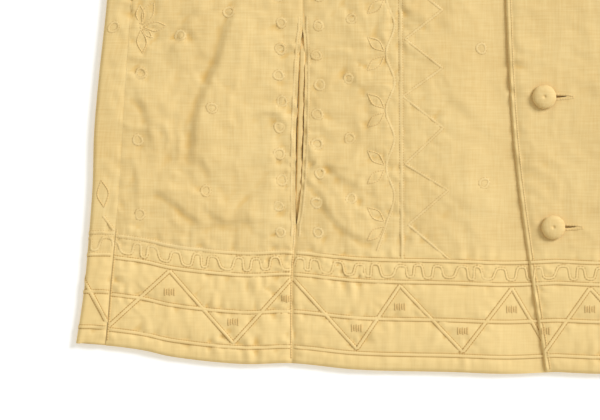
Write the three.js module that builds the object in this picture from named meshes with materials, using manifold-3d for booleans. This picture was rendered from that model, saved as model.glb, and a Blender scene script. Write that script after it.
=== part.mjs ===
// Embroidered cotton jacket, buttoned and laid out flat, face up.
// Millimetres. +X runs to the wearer's left, +Y from hem to collar, +Z up from the surface it lies on.
// Each piece that is cut and sewn on is one closed solid: back, two fronts, two side fronts, two sleeves,
// collar, two pocket bags and seven covered buttons. "up" is measured from the hem's lowest point and
// "out" from the centre front; the finished group is moved so that its bounding rectangle is centred.
import * as THREE from "three";
import { mergeVertices } from "three/addons/utils/BufferGeometryUtils.js";
import Module from "manifold-3d";

const wasm = await Module();
wasm.setup();

// ---------- driving dimensions ----------
const CLOTH = 2.0; // lined and lightly padded cotton
const GAP = 0.3; // between neighbouring pieces
const BACK_Z = CLOTH / 2; // middle of the back's wall, which lies on the surface
const FRONT_Z = 5.6; // middle of the fronts' wall
const UNDERLAP_Z = 3.4; // middle of the wall where the right front passes under the left one
const FOLD_Z = (FRONT_Z + BACK_Z) / 2; // height of every folded edge
const FOLD_R = (FRONT_Z - BACK_Z) / 2; // bend of the wall's middle at a folded edge
const LAP_RISE = 0.1; // the left front lies this much higher, clear of the right one

const SHOULDER = { out: 230, up: 672 }; // tip of the shoulder seam
const NECK = { out: 85, up: 715 }; // where shoulder seam and neckline meet
const FRONT_NECK_UP = 640;
const BACK_NECK_UP = 693;
const NECK_CURVE = 1.7;
const NECK_STOPS = 6; // on each half of a neckline
const PANEL_TOP_UP = 505; // the panel seam runs out into the armhole here
const CUFF = { along: 600, width: 125, fromVertical: 48 }; // sleeve length, flat cuff, lie of the sleeve
const CAP_BULGE = 9; // rise of the sleeve's upper fold over the straight line
const COLLAR = { height: 32, lean: 35, opening: 1.2 }; // lean is at the shoulder, in degrees
const BUTTON = { radius: 8, height: 5, shank: 1.5, holeLength: 18.5 };
const SLIT = { low: 99, high: 226.6, width: 5 }; // pocket mouth in the panel seam
const BAG = { wall: 0.6, space: 0.3, reach: 98, below: 36, above: 8, behind: 8, seam: 5, curve: 22 };

// ---------- the outline, row by row up the body ----------
// Folded edge, side seam (in from the fold) and panel seam, all measured out from the centre front.
const BODY = [
  { up: 0, fold: 317, wrap: 18.5, panel: 174 },
  { up: 60, fold: 311, wrap: 17, panel: 174 },
  { up: 97, fold: 308, wrap: 17.5, panel: 171.5 },
  { up: 125, fold: 306, wrap: 18, panel: 170 },
  { up: 160, fold: 305, wrap: 19, panel: 169 },
  { up: 200, fold: 301.5, wrap: 18, panel: 167.8 },
  { up: 247, fold: 296.5, wrap: 16, panel: 167 },
  { up: 340, fold: 290, wrap: 12, panel: 170 },
  { up: 431, fold: 284, wrap: 7, panel: 186 },
  { up: 505, fold: 284, wrap: 7, panel: 212 },
];
// Edge of the left front, which laps over the right one, and the line of the buttons.
const CLOSING = [
  { up: 0, edge: 6.5, buttons: -4 },
  { up: 78, edge: 18.5, buttons: 0.5 },
  { up: 154, edge: 28, buttons: 6 },
  { up: 247, edge: 33, buttons: 11 },
  { up: 345, edge: 34, buttons: 12.5 },
  { up: 450, edge: 30, buttons: 10 },
  { up: 560, edge: 25, buttons: 5 },
  { up: 640, edge: 21, buttons: 1 },
];
const UNDERLAP_OUT = 18; // the right front reaches this far past the centre
const BUTTONS_UP = [96.8, 182.9, 269, 355, 441, 527, 613];
// The hem rises towards the sides.
const HEM = [
  { out: 0, rise: 1.2 },
  { out: 32, rise: 0 },
  { out: 69, rise: 1.2 },
  { out: 131, rise: 2.8 },
  { out: 174, rise: 7.3 },
  { out: 218, rise: 7.8 },
  { out: 264, rise: 13 },
  { out: 298, rise: 19.5 },
  { out: 317, rise: 22 },
];
// The armhole, from the shoulder tip down to the underarm.
const ARMHOLE = [
  { out: 230, up: 672 },
  { out: 215, up: 620 },
  { out: 209, up: 560 },
  { out: 212, up: 505 },
  { out: 224, up: 481 },
  { out: 242, up: 462 },
  { out: 262, up: 446 },
  { out: 284, up: 431 },
];
const PANEL_END = 3; // the row of the armhole at which the panel seam ends
// Broad soft swells of the fronts: middle, half length and half width, turn from +X in degrees, and height.
const SWELLS = [
  { out: 235, up: 205, long: 95, wide: 30, turn: 75, high: 1.3 },
  { out: 195, up: 130, long: 60, wide: 28, turn: 60, high: 1.0 },
  { out: 115, up: 150, long: 70, wide: 30, turn: -55, high: 0.9 },
  { out: 245, up: 95, long: 45, wide: 24, turn: -35, high: 0.9 },
  { out: 110, up: 320, long: 90, wide: 36, turn: 70, high: 1.2 },
  { out: 205, up: 370, long: 80, wide: 34, turn: 110, high: 1.1 },
  { out: 120, up: 500, long: 85, wide: 38, turn: 60, high: 1.2 },
  { out: 150, up: 605, long: 60, wide: 30, turn: 35, high: 0.9 },
];

// ---------- helpers ----------
const clamp01 = (t) => Math.min(1, Math.max(0, t));
const ease = (t) => clamp01(t) ** 2 * (3 - 2 * clamp01(t));
const mix = (a, b, t) => a + (b - a) * t;
const turned = (degrees) => [Math.cos((degrees * Math.PI) / 180), Math.sin((degrees * Math.PI) / 180)];

// A column of a table, eased between its rows, at a value of the table's key column.
function read(table, key, column, at) {
  const last = table.length - 1;
  if (at <= table[0][key]) return table[0][column];
  if (at >= table[last][key]) return table[last][column];
  const i = table.findIndex((row) => row[key] > at) - 1;
  const slope = (k) => {
    const lo = table[Math.max(0, k - 1)];
    const hi = table[Math.min(last, k + 1)];
    return (hi[column] - lo[column]) / (hi[key] - lo[key]);
  };
  const [a, b] = [table[i], table[i + 1]];
  const span = b[key] - a[key];
  const t = (at - a[key]) / span;
  const bend = slope(i) * t * (1 - t) ** 2 - slope(i + 1) * t ** 2 * (1 - t);
  return mix(a[column], b[column], ease(t)) + span * bend;
}

const hemUp = (x) => read(HEM, "out", "rise", Math.abs(x));
// The necklines, as chords between shared stops, so that the collar meets them all along.
function neckUp(lowest, x) {
  const stop = Math.min(Math.abs(x) / NECK.out, 1) * NECK_STOPS;
  const i = Math.min(Math.floor(stop), NECK_STOPS - 1);
  const rise = (k) => (k / NECK_STOPS) ** NECK_CURVE;
  return mix(lowest, NECK.up, mix(rise(i), rise(i + 1), stop - i));
}
const frontNeckUp = (x) => neckUp(FRONT_NECK_UP, x);
const backNeckUp = (x) => neckUp(BACK_NECK_UP, x);
const evenly = (count, from, to) =>
  Array.from({ length: count + 1 }, (_, i) => mix(from, to, i / count));

// How far a point lies below the shoulder seam.
function belowShoulder(x, up) {
  const slope = (NECK.up - SHOULDER.up) / (SHOULDER.out - NECK.out);
  return (NECK.up - slope * (Math.abs(x) - NECK.out) - up) / Math.hypot(1, slope);
}

// The middle of the fronts' wall: level, swelling softly, and sinking to the back's edge at the shoulder.
function frontZ(x, up) {
  const clear =
    ease((275 - Math.abs(x)) / 25) * ease((Math.abs(x) - 45) / 25) * ease((up - 55) / 40);
  const calm = ease((belowShoulder(x, up) - 20) / 40) * ease((PANEL_TOP_UP + 120 - up) / 60);
  let swell = 0;
  for (const row of SWELLS) {
    const [c, s] = turned(row.turn);
    const dx = Math.abs(x) - row.out;
    const dy = up - row.up;
    const along = (c * dx + s * dy) / row.long;
    const across = (c * dy - s * dx) / row.wide;
    swell += row.high * Math.exp(-(along ** 2) - across ** 2);
  }
  const sink = (FRONT_Z - FOLD_Z) * (1 - ease(belowShoulder(x, up) / 14));
  return FRONT_Z + swell * clear * calm - sink;
}

// The right front dips under the edge of the left one.
function underZ(x, up) {
  const dip = ease((x + read(CLOSING, "up", "edge", up) + 46) / 30);
  return mix(frontZ(x, up), UNDERLAP_Z, dip);
}

// A patch between four boundary lines of [x, up] points, as rows of points from the hem up.
function patch(bottom, top, left, right) {
  const across = bottom.length - 1;
  const rows = left.length - 1;
  return left.map((l, j) =>
    bottom.map((b, i) => {
      const [u, v] = [i / across, j / rows];
      return [0, 1].map((k) => {
        const ruled = mix(b[k], top[i][k], v) + mix(l[k], right[j][k], u);
        const corners = mix(
          mix(bottom[0][k], bottom[across][k], u),
          mix(top[0][k], top[across][k], u),
          v,
        );
        return ruled - corners;
      });
    }),
  );
}

// Points and faces of a grid of [x, y, z] rows; wrapped joins the last column to the first.
function gridOf(rows, wrapped = false) {
  const across = rows[0].length;
  const quads = [];
  for (let j = 0; j + 1 < rows.length; j++)
    for (let i = 0; i < across - (wrapped ? 0 : 1); i++) {
      const next = (i + 1) % across;
      quads.push([j * across + i, j * across + next, (j + 1) * across + next, (j + 1) * across + i]);
    }
  return { points: rows.flat().map((p) => new THREE.Vector3(...p)), quads };
}

// A wall of cloth: a sheet of points and quads, moved out to both sides and closed round its edges.
function wallOf({ points, quads }) {
  const normals = points.map(() => new THREE.Vector3());
  for (const q of quads) {
    const [a, b, c, d] = q.map((i) => points[i]);
    const n = c.clone().sub(a).cross(d.clone().sub(b)).normalize();
    q.forEach((i) => normals[i].add(n));
  }
  const side = (way) =>
    points.map((p, i) => p.clone().addScaledVector(normals[i].clone().normalize(), (way * CLOTH) / 2));
  const vertices = [...side(1), ...side(-1)];
  const under = points.length;
  const edges = new Map();
  const index = [];
  const face = (a, b, c, d) => index.push(a, b, c, a, c, d);
  for (const [a, b, c, d] of quads) {
    face(a, b, c, d);
    face(under + a, under + d, under + c, under + b);
    for (const [from, to] of [[a, b], [b, c], [c, d], [d, a]]) {
      if (!edges.delete(to + "," + from)) edges.set(from + "," + to, [from, to]);
    }
  }
  for (const [from, to] of edges.values()) face(to, from, under + from, under + to);
  const geometry = new THREE.BufferGeometry().setFromPoints(vertices);
  return geometry.setIndex(index);
}

// Boolean work: a closed geometry as a solid, and back.
function solidOf(geometry) {
  const bare = geometry.clone();
  bare.deleteAttribute("normal");
  bare.deleteAttribute("uv");
  const merged = mergeVertices(bare, 1e-3);
  return new wasm.Manifold(
    new wasm.Mesh({
      numProp: 3,
      vertProperties: merged.attributes.position.array,
      triVerts: new Uint32Array(merged.index.array),
    }),
  );
}
function geometryOf(solid) {
  const { vertProperties, triVerts } = solid.getMesh();
  return new THREE.BufferGeometry()
    .setAttribute("position", new THREE.BufferAttribute(new Float32Array(vertProperties), 3))
    .setIndex(new THREE.BufferAttribute(new Uint32Array(triVerts), 1));
}
// A level plate of the given outline, between two heights.
function slab(outline, low, high) {
  const shape = new THREE.Shape(outline.map(([x, y]) => new THREE.Vector2(x, y)));
  const made = new THREE.ExtrudeGeometry(shape, { depth: high - low, bevelEnabled: false });
  return solidOf(made.translate(0, 0, low));
}

// Materials.
const cotton = (color, roughness = 0.9) =>
  new THREE.MeshStandardMaterial({ color, roughness, metalness: 0, side: THREE.DoubleSide });
const FACE_COTTON = cotton(0xe8c98a);
const POCKET_COTTON = cotton(0xe0c083);
const BUTTON_COTTON = cotton(0xe4c486, 0.85);

const jacket = new THREE.Group();
function add(name, geometry, material) {
  const mesh = new THREE.Mesh(geometry, material);
  mesh.name = name;
  jacket.add(mesh);
}

// ---------- seam lines that neighbouring pieces share ----------
const PANEL_ROWS = [0, 50, 99, 113, 134, 163, 192, 212, 226.6, 270, 330, 395, 455, PANEL_TOP_UP];
const UNDERARM_UP = ARMHOLE.at(-1).up - 3 * GAP;
const SIDE_ROWS = PANEL_ROWS.map((up) => (up * UNDERARM_UP) / PANEL_TOP_UP);
const armhole = ARMHOLE.map((p) => [-p.out, p.up]); // right side of the body, which is -X
// Moves each point of a line sideways, to the left of the way it runs.
function beside(line, distance) {
  return line.map((p, i) => {
    const a = line[Math.max(0, i - 1)];
    const b = line[Math.min(line.length - 1, i + 1)];
    const [dx, dy] = [b[0] - a[0], b[1] - a[1]];
    const long = Math.hypot(dx, dy);
    return [p[0] - (dy / long) * distance, p[1] + (dx / long) * distance];
  });
}
const bodyArmhole = beside(armhole, GAP / 2); // the body's side of the armhole seam
const sleeveArmhole = beside(armhole, -0.75 * GAP);

// A seam up the body: how far out it lies at each row, starting from the hem.
const seamUp = (rows, outOf) =>
  rows.map((up, j) => [-outOf(up), j === 0 ? hemUp(outOf(0)) : up]);
const sideOut = (up) => read(BODY, "up", "fold", up) - read(BODY, "up", "wrap", up);

// ---------- pieces ----------
const z3 = (rows, height) => rows.map((row) => row.map(([x, y]) => [x, y, height(x, y)]));
const mirrored = (rows) => rows.map((row) => row.map(([x, y]) => [-x, y]).reverse());

// Side front: side seam, panel seam, and the lower armhole as its top edge.
function sideFront() {
  const top = bodyArmhole.slice(PANEL_END).reverse();
  const left = seamUp(SIDE_ROWS, (up) => sideOut(up) - GAP / 2);
  const right = seamUp(PANEL_ROWS, (up) => read(BODY, "up", "panel", up) + mouthHalf(up) + GAP / 2);
  top[0] = left.at(-1);
  right[right.length - 1] = top.at(-1);
  return patch(hemBetween(left[0], right[0], top.length), top, left, right);
}

// Half the width of the pocket mouth at a height up the panel seam.
function mouthHalf(up) {
  const t = (up - SLIT.low) / (SLIT.high - SLIT.low);
  return t > 0 && t < 1 ? (SLIT.width / 2) * (4 * t * (1 - t)) ** 0.6 : 0;
}

// Points along the hem between two corners.
function hemBetween(from, to, count) {
  return evenly(count - 1, from[0], to[0]).map((x) => [x, hemUp(x)]);
}

// Shoulder seam and neckline of one side, from the armhole to the centre.
function shoulderAndNeck(tip, necklineUp) {
  const shoulder = evenly(4, 0, 1).map((t) => [mix(tip[0], -NECK.out, t), mix(tip[1], NECK.up, t)]);
  const neckline = evenly(NECK_STOPS, -NECK.out, 0).slice(1);
  return [...shoulder, ...neckline.map((x) => [x, necklineUp(x)])];
}

// Front: panel seam and upper armhole at one side, its own edge at the other, shoulder and neckline on top.
function front(edgePast) {
  const seam = seamUp(PANEL_ROWS, (up) => read(BODY, "up", "panel", up) - mouthHalf(up) - GAP / 2);
  const upper = bodyArmhole.slice(0, PANEL_END + 1).reverse();
  const corner = upper[0];
  seam[seam.length - 1] = [corner[0] + GAP, corner[1]];
  const left = [...seam, ...upper.slice(1)];
  const beyond = [NECK.out / NECK_STOPS, edgePast(FRONT_NECK_UP)].map((x) => [x, frontNeckUp(x)]);
  const top = [...shoulderAndNeck(left.at(-1), frontNeckUp), ...beyond];
  const low = hemUp(edgePast(0));
  const right = left.map((_, j) => {
    const up = mix(low, top.at(-1)[1], j / (left.length - 1));
    return [edgePast(up), up];
  });
  right[right.length - 1] = top.at(-1);
  return patch(hemBetween(left[0], right[0], top.length), top, left, right);
}

// Back: one sheet on the surface, wrapped round both sides on to the front as far as the side seams.
function back() {
  const lobe = FOLD_R + CLOTH / 2; // the folded edge, outside the level part
  const side = seamUp(SIDE_ROWS, (up) => read(BODY, "up", "fold", up) - lobe);
  const left = [...side, ...bodyArmhole.slice(0, -1).reverse()];
  const flip = ([x, y]) => [-x, y];
  const half = shoulderAndNeck(left.at(-1), backNeckUp);
  const top = [...half, ...half.slice(0, -1).reverse().map(flip)];
  const bottom = hemBetween(left[0], flip(left[0]), top.length);
  const { points, quads } = gridOf(z3(patch(bottom, top, left, left.map(flip)), () => BACK_Z));
  // Each wrap is a half turn of the wall, then a level strip up to the side seam.
  const columns = [
    ...evenly(5, 0, Math.PI)
      .slice(1)
      .map((a) => ({ past: FOLD_R * Math.sin(a), z: FOLD_Z - FOLD_R * Math.cos(a), strip: 0 })),
    { past: 0, z: FRONT_Z, strip: 1 },
  ];
  for (const way of [-1, 1]) {
    let before = side.map((_, j) => j * top.length + (way < 0 ? 0 : top.length - 1));
    for (const { past, z, strip } of columns) {
      const now = side.map(([x, up], j) => {
        const out = mix(-x, sideOut(j && up) + GAP / 2, strip) + past;
        return points.push(new THREE.Vector3(way * out, j ? up : hemUp(out), z)) - 1;
      });
      for (let j = 0; j + 1 < side.length; j++) {
        const quad = [before[j], now[j], now[j + 1], before[j + 1]];
        quads.push(way > 0 ? quad : quad.reverse());
      }
      before = now;
    }
  }
  return wallOf({ points, quads });
}

// Sleeve: a flattened tube, from the armhole seam to the cuff. Right sleeve; the left is its mirror image.
function sleeve() {
  const [c, s] = turned(CUFF.fromVertical);
  const down = [-s, -c];
  const cuffTop = [armhole[0][0] + CUFF.along * down[0], armhole[0][1] + CUFF.along * down[1]];
  const cuffEnd = [cuffTop[0] + CUFF.width * c, cuffTop[1] - CUFF.width * s];
  const share = armhole.map((_, i) => i / (armhole.length - 1));
  // The tube's section: shares of its width across, with the height of the wall's middle.
  const bend = evenly(4, 0, Math.PI).slice(1, -1);
  const lobe = CLOTH / 2 + FOLD_R;
  const section = [
    ...share.map((w) => ({ w, past: 0, z: FRONT_Z })),
    ...bend.map((a) => ({ w: 1, past: FOLD_R * Math.sin(a), z: FOLD_Z + FOLD_R * Math.cos(a) })),
    ...[...share].reverse().map((w) => ({ w, past: 0, z: BACK_Z })),
    ...bend.map((a) => ({ w: 0, past: -FOLD_R * Math.sin(a), z: FOLD_Z - FOLD_R * Math.cos(a) })),
  ];
  const rings = evenly(9, 0, 1).map((along) => {
    const line = share.map((w, i) => {
      const cuff = [mix(cuffTop[0], cuffEnd[0], w), mix(cuffTop[1], cuffEnd[1], w)];
      const lift = CAP_BULGE * (1 - w) * Math.sin(Math.PI * along) ** 2;
      const [x, up] = sleeveArmhole[i];
      return [mix(x, cuff[0], along) - lift * c, mix(up, cuff[1], along) + lift * s];
    });
    const [a, b] = [line[0], line.at(-1)];
    const wide = Math.hypot(b[0] - a[0], b[1] - a[1]);
    const way = [(b[0] - a[0]) / wide, (b[1] - a[1]) / wide];
    const squeeze = (wide - 2 * lobe) / wide;
    return section.map(({ w, past, z }) => {
      const p = line[share.indexOf(w)];
      const shift = (w - 0.5) * wide * (squeeze - 1) + past;
      return [p[0] + way[0] * shift, p[1] + way[1] * shift, z];
    });
  });
  return wallOf(gridOf(rings.map((ring) => [...ring].reverse()), true));
}

// Collar: one band round the neck, folded flat at both shoulders and open at the centre front.
function collar() {
  const end = NECK.out - 2.6;
  const foldZ = frontZ(end, frontNeckUp(end));
  const bend = (foldZ - BACK_Z) / 2;
  const half = [];
  const station = (x, up, z, lean) => {
    const [c, s] = turned(COLLAR.lean * lean);
    const rows = [0, COLLAR.height / 2, COLLAR.height];
    half.push(rows.map((h) => [x + h * s, up + GAP + h * c, z]));
  };
  const stops = [...evenly(NECK_STOPS, 0, NECK.out).slice(0, -1), end];
  stops[0] = COLLAR.opening;
  for (const x of stops) station(-x, frontNeckUp(x), frontZ(x, frontNeckUp(x)), x / end);
  // Round the fold, the band clears the corner where the necklines meet the shoulder seam.
  const [leanC, leanS] = turned(COLLAR.lean);
  for (const a of evenly(5, 0, Math.PI).slice(1, -1)) {
    const out = end + bend * Math.sin(a) * leanC;
    const neck = a < Math.PI / 2 ? frontNeckUp : backNeckUp;
    const up = neck(out + (CLOTH / 2) * leanC) - (CLOTH / 2) * leanS + 2 * GAP;
    station(-out, up, BACK_Z + bend * (1 + Math.cos(a)), 1);
  }
  stops[0] = 0;
  for (const x of stops.reverse()) station(-x, backNeckUp(x), BACK_Z, x / end);
  const other = half.slice(0, -1).reverse().map((row) => row.map(([x, y, z]) => [-x, y, z]));
  return wallOf(gridOf([...half, ...other]));
}

// Pocket bag: two thin layers seamed round their edge, open to the slit in the panel seam.
function pocketBag() {
  const low = CLOTH + GAP;
  const high = low + 2 * BAG.wall + BAG.space;
  const seam = -read(BODY, "up", "panel", (SLIT.low + SLIT.high) / 2);
  const [left, right] = [seam - BAG.behind, seam + BAG.reach];
  const [bottom, top] = [SLIT.low - BAG.below, SLIT.high + BAG.above];
  const { curve } = BAG;
  const outline = (inset) => [
    [left + inset, bottom + curve + inset],
    [left + curve + inset, bottom + inset],
    [right - curve - inset, bottom + inset],
    [right - inset, bottom + curve + inset],
    [right - inset, top - curve - inset],
    [right - curve - inset, top - inset],
    [left + inset, top - inset],
  ];
  const hollow = slab(outline(BAG.seam), low + BAG.wall, high - BAG.wall);
  // The upper layer is left off from under the mouth to the side of the bag behind it.
  const edge = seam + SLIT.width / 2 + 1.5;
  const [start, end] = [SLIT.low - 4, SLIT.high + 4];
  const corners = [
    [left - 1, start],
    [edge, start],
    [edge, end],
    [left - 1, end],
  ];
  const open = slab(corners, low + BAG.wall, high + 1);
  return geometryOf(slab(outline(0), low, high).subtract(hollow).subtract(open));
}

// Covered button: a dome on a shank that comes up through its buttonhole.
function button(x, up, base) {
  const { radius, height, shank } = BUTTON;
  const under = FRONT_Z + CLOTH / 2 + LAP_RISE + GAP;
  const profile = [
    [0, base],
    [shank, base],
    [shank, under],
    [radius * 0.86, under],
    [radius, under + height * 0.32],
    [radius * 0.93, under + height * 0.62],
    [radius * 0.68, under + height * 0.88],
    [radius * 0.34, under + height * 0.98],
    [0, under + height],
  ].map(([r, z]) => new THREE.Vector2(r, z));
  return new THREE.LatheGeometry(profile, 16).rotateX(Math.PI / 2).translate(x, up, 0);
}

// Buttonhole: a wedge, wide at the shank and closed at its outer end.
function buttonhole(x, up) {
  const half = BUTTON.shank + 0.6;
  const tip = x + BUTTON.holeLength - half;
  const outline = [
    [x - half, up - half * 0.6],
    [x - half * 0.6, up - half],
    [x + half, up - half],
    [tip, up - 0.35],
    [tip, up + 0.35],
    [x + half, up + half],
    [x - half * 0.6, up + half],
    [x - half, up + half * 0.6],
  ];
  return slab(outline, UNDERLAP_Z, FRONT_Z + 3 * CLOTH);
}

// ---------- assembly ----------
const edgeOut = (up) => read(CLOSING, "up", "edge", up);
const leftFrontZ = (x, up) => frontZ(x, up) + LAP_RISE;
const mirrorX = (geometry) => {
  const made = geometry.clone().scale(-1, 1, 1);
  made.setIndex(new THREE.BufferAttribute(new Uint32Array(geometry.index.array).reverse(), 1));
  return made;
};

add("back", back(), FACE_COTTON);
add("front_right", wallOf(gridOf(z3(front(() => UNDERLAP_OUT), underZ))), FACE_COTTON);
add("side_front_right", wallOf(gridOf(z3(sideFront(), frontZ))), FACE_COTTON);
add("side_front_left", wallOf(gridOf(z3(mirrored(sideFront()), frontZ))), FACE_COTTON);

const buttonX = (up) => -read(CLOSING, "up", "buttons", up);
const leftRows = mirrored(front(edgeOut));
let leftFront = solidOf(wallOf(gridOf(z3(leftRows, leftFrontZ))));
for (const up of BUTTONS_UP) leftFront = leftFront.subtract(buttonhole(buttonX(up), up));
add("front_left", geometryOf(leftFront), FACE_COTTON);

add("sleeve_right", sleeve(), FACE_COTTON);
add("sleeve_left", mirrorX(sleeve()), FACE_COTTON);
add("collar", collar(), FACE_COTTON);
add("pocket_right", pocketBag(), POCKET_COTTON);
add("pocket_left", mirrorX(pocketBag()), POCKET_COTTON);
BUTTONS_UP.forEach((up, i) => {
  const base = UNDERLAP_Z + CLOTH / 2 + GAP;
  add("button_" + (i + 1), button(buttonX(up), up, base), BUTTON_COTTON);
});

const middle = new THREE.Box3().setFromObject(jacket).getCenter(new THREE.Vector3());
jacket.position.y = -middle.y;

export default jacket;
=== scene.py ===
"""Looks of an embroidered cotton jacket, buttoned and laid out flat, face up.

Sizes are in millimetres. x runs from the centre front to the wearer's left, "up" from the lowest point of the
hem to the collar, and z up from the surface that the jacket lies on. Meshes are stored in metres, in the
shared frame.
"""

import logging
import math
from dataclasses import dataclass, field
from enum import Enum
from typing import Callable, Iterable, Optional, Sequence

import bmesh
import bpy
import numpy as np
from mathutils.kdtree import KDTree
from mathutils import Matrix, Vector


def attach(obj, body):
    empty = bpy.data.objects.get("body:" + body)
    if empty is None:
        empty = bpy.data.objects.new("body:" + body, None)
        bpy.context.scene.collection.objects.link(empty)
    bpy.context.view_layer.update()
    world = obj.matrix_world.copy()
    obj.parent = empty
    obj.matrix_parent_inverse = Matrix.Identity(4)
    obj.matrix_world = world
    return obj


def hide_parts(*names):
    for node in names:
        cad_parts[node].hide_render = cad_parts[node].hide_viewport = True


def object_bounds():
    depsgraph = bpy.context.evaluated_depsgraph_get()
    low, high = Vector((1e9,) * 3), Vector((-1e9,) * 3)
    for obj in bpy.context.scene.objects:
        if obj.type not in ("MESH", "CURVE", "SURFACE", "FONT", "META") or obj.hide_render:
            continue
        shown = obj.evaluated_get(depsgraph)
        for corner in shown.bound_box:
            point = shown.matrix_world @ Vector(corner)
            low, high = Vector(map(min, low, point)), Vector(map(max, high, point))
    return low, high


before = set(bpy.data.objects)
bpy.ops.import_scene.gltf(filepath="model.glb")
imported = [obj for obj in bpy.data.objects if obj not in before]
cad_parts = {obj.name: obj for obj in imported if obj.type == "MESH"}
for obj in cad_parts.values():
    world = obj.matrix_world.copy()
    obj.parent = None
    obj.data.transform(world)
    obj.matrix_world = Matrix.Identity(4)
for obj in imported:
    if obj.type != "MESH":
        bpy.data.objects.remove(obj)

CAD_BOX = [list(corner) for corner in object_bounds()]
MM = 0.001
HEM_Y = CAD_BOX[0][1] / MM  # where the hem's lowest point lies in the shared frame
LOG = logging.getLogger("jacket")
Array = np.ndarray
Object = bpy.types.Object
Tree = bpy.types.NodeTree
Socket = bpy.types.NodeSocket

# ---------- small tools ----------


def ease(t: Array | float) -> Array:
    """A step from 0 to 1 with level ends, for t from 0 to 1."""
    t = np.clip(t, 0.0, 1.0)
    return t * t * (3.0 - 2.0 * t)


def mix(a: Array | float, b: Array | float, t: Array | float) -> Array:
    """The value that lies a share t of the way from a to b."""
    return a + (b - a) * t


@dataclass(frozen=True)
class Track:
    """A measure that changes along a line, eased between its stops of (place, value)."""

    stops: tuple[tuple[float, float], ...]

    def at(self, where: Array | float) -> Array:
        """The measure at one place or many.

        Args:
            where: Places along the line.

        Returns:
            The eased values, level beyond the first and last stop.
        """
        keys, values = np.array(self.stops, float).T
        last = len(keys) - 1
        low, high = np.maximum(np.arange(last + 1) - 1, 0), np.minimum(np.arange(last + 1) + 1, last)
        slope = (values[high] - values[low]) / (keys[high] - keys[low])
        where = np.asarray(where, float)
        i = np.clip(np.searchsorted(keys, where, side="right") - 1, 0, last - 1)
        span = keys[i + 1] - keys[i]
        t = np.clip((where - keys[i]) / span, 0.0, 1.0)
        bend = slope[i] * t * (1 - t) ** 2 - slope[i + 1] * t**2 * (1 - t)
        return mix(values[i], values[i + 1], ease(t)) + span * bend


class Noise:
    """Smooth seeded noise over the plane, about -1 to 1."""

    SIZE = 128

    def __init__(self, seed: int, cell: float) -> None:
        """Args: seed of the random directions, and cell, the noise's grain in millimetres."""
        angle = np.random.default_rng(seed).uniform(0.0, 2.0 * math.pi, (self.SIZE, self.SIZE))
        self.cell = cell
        self.lattice = np.stack([np.cos(angle), np.sin(angle)], axis=-1)

    def at(self, x: Array, y: Array) -> Array:
        """The noise at the points x, y, which are arrays or numbers in millimetres."""
        gx, gy = np.broadcast_arrays(np.asarray(x, float) / self.cell, np.asarray(y, float) / self.cell)
        ix, iy = np.floor(gx).astype(int), np.floor(gy).astype(int)
        fx, fy = gx - ix, gy - iy

        def corner(dx: int, dy: int) -> Array:
            """The share that one corner of the cell gives."""
            way = self.lattice[(ix + dx) % self.SIZE, (iy + dy) % self.SIZE]
            return way[..., 0] * (fx - dx) + way[..., 1] * (fy - dy)

        bottom = mix(corner(0, 0), corner(1, 0), ease(fx))
        top = mix(corner(0, 1), corner(1, 1), ease(fx))
        return 1.6 * mix(bottom, top, ease(fy))


def lengths(line: Array) -> Array:
    """How far along a line of pairs each of its points lies."""
    return np.concatenate([[0.0], np.cumsum(np.hypot(*np.diff(line, axis=0).T))])


def resample(points: Sequence[Sequence[float]], step: float) -> Array:
    """Evenly spaced points along a line.

    Args:
        points: Corners of the line, as pairs.
        step: Wanted spacing in millimetres.

    Returns:
        An array of pairs.
    """
    line = np.array(points, float)
    along = lengths(line)
    count = max(2, int(round(along[-1] / step)))
    stops = np.linspace(0.0, along[-1], count + 1)
    return np.column_stack([np.interp(stops, along, line[:, k]) for k in range(2)])


def curve_through(points: Sequence[Sequence[float]], step: float) -> Array:
    """A smooth line through points, evenly sampled.

    Args:
        points: Points that the line passes, as pairs.
        step: Wanted spacing in millimetres.

    Returns:
        An array of pairs.
    """
    line = np.array(points, float)
    places = lengths(line)
    fine = np.linspace(0.0, places[-1], max(8, int(places[-1] / step)))
    tracks = [Track(tuple(zip(places, line[:, k]))) for k in range(2)]
    return resample(np.column_stack([track.at(fine) for track in tracks]), step)


def spaced(*stretches: tuple[float, float]) -> Array:
    """Distances of a grid's lines, closer together at its edges so that these can be rounded.

    Args:
        *stretches: For each stretch, the distance at which it ends and the spacing in it.

    Returns:
        Rising distances in millimetres, from 0.
    """
    edge = np.array([0.2, 0.5, 0.9, 1.5])
    clear = 2.1  # the even lines keep this far from the edges
    lines, start = [0.0], 0.0
    for end, step in stretches:
        count = max(1, int(round((end - start) / step)))
        lines.extend(np.linspace(start, end, count + 1)[1:])
        start = end
    inner = np.array(lines[1:-1])
    inner = inner[(inner > clear) & (inner < start - clear)]
    return np.concatenate([[0.0], edge, inner, start - edge[::-1], [start]])


# ---------- the cut that all the pieces share ----------


class Side(Enum):
    """A side of the jacket, as the wearer has it, and the sign of x there."""

    RIGHT = -1
    LEFT = 1

    @property
    def word(self) -> str:
        """The side's word in the names of pieces."""
        return self.name.lower()


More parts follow.
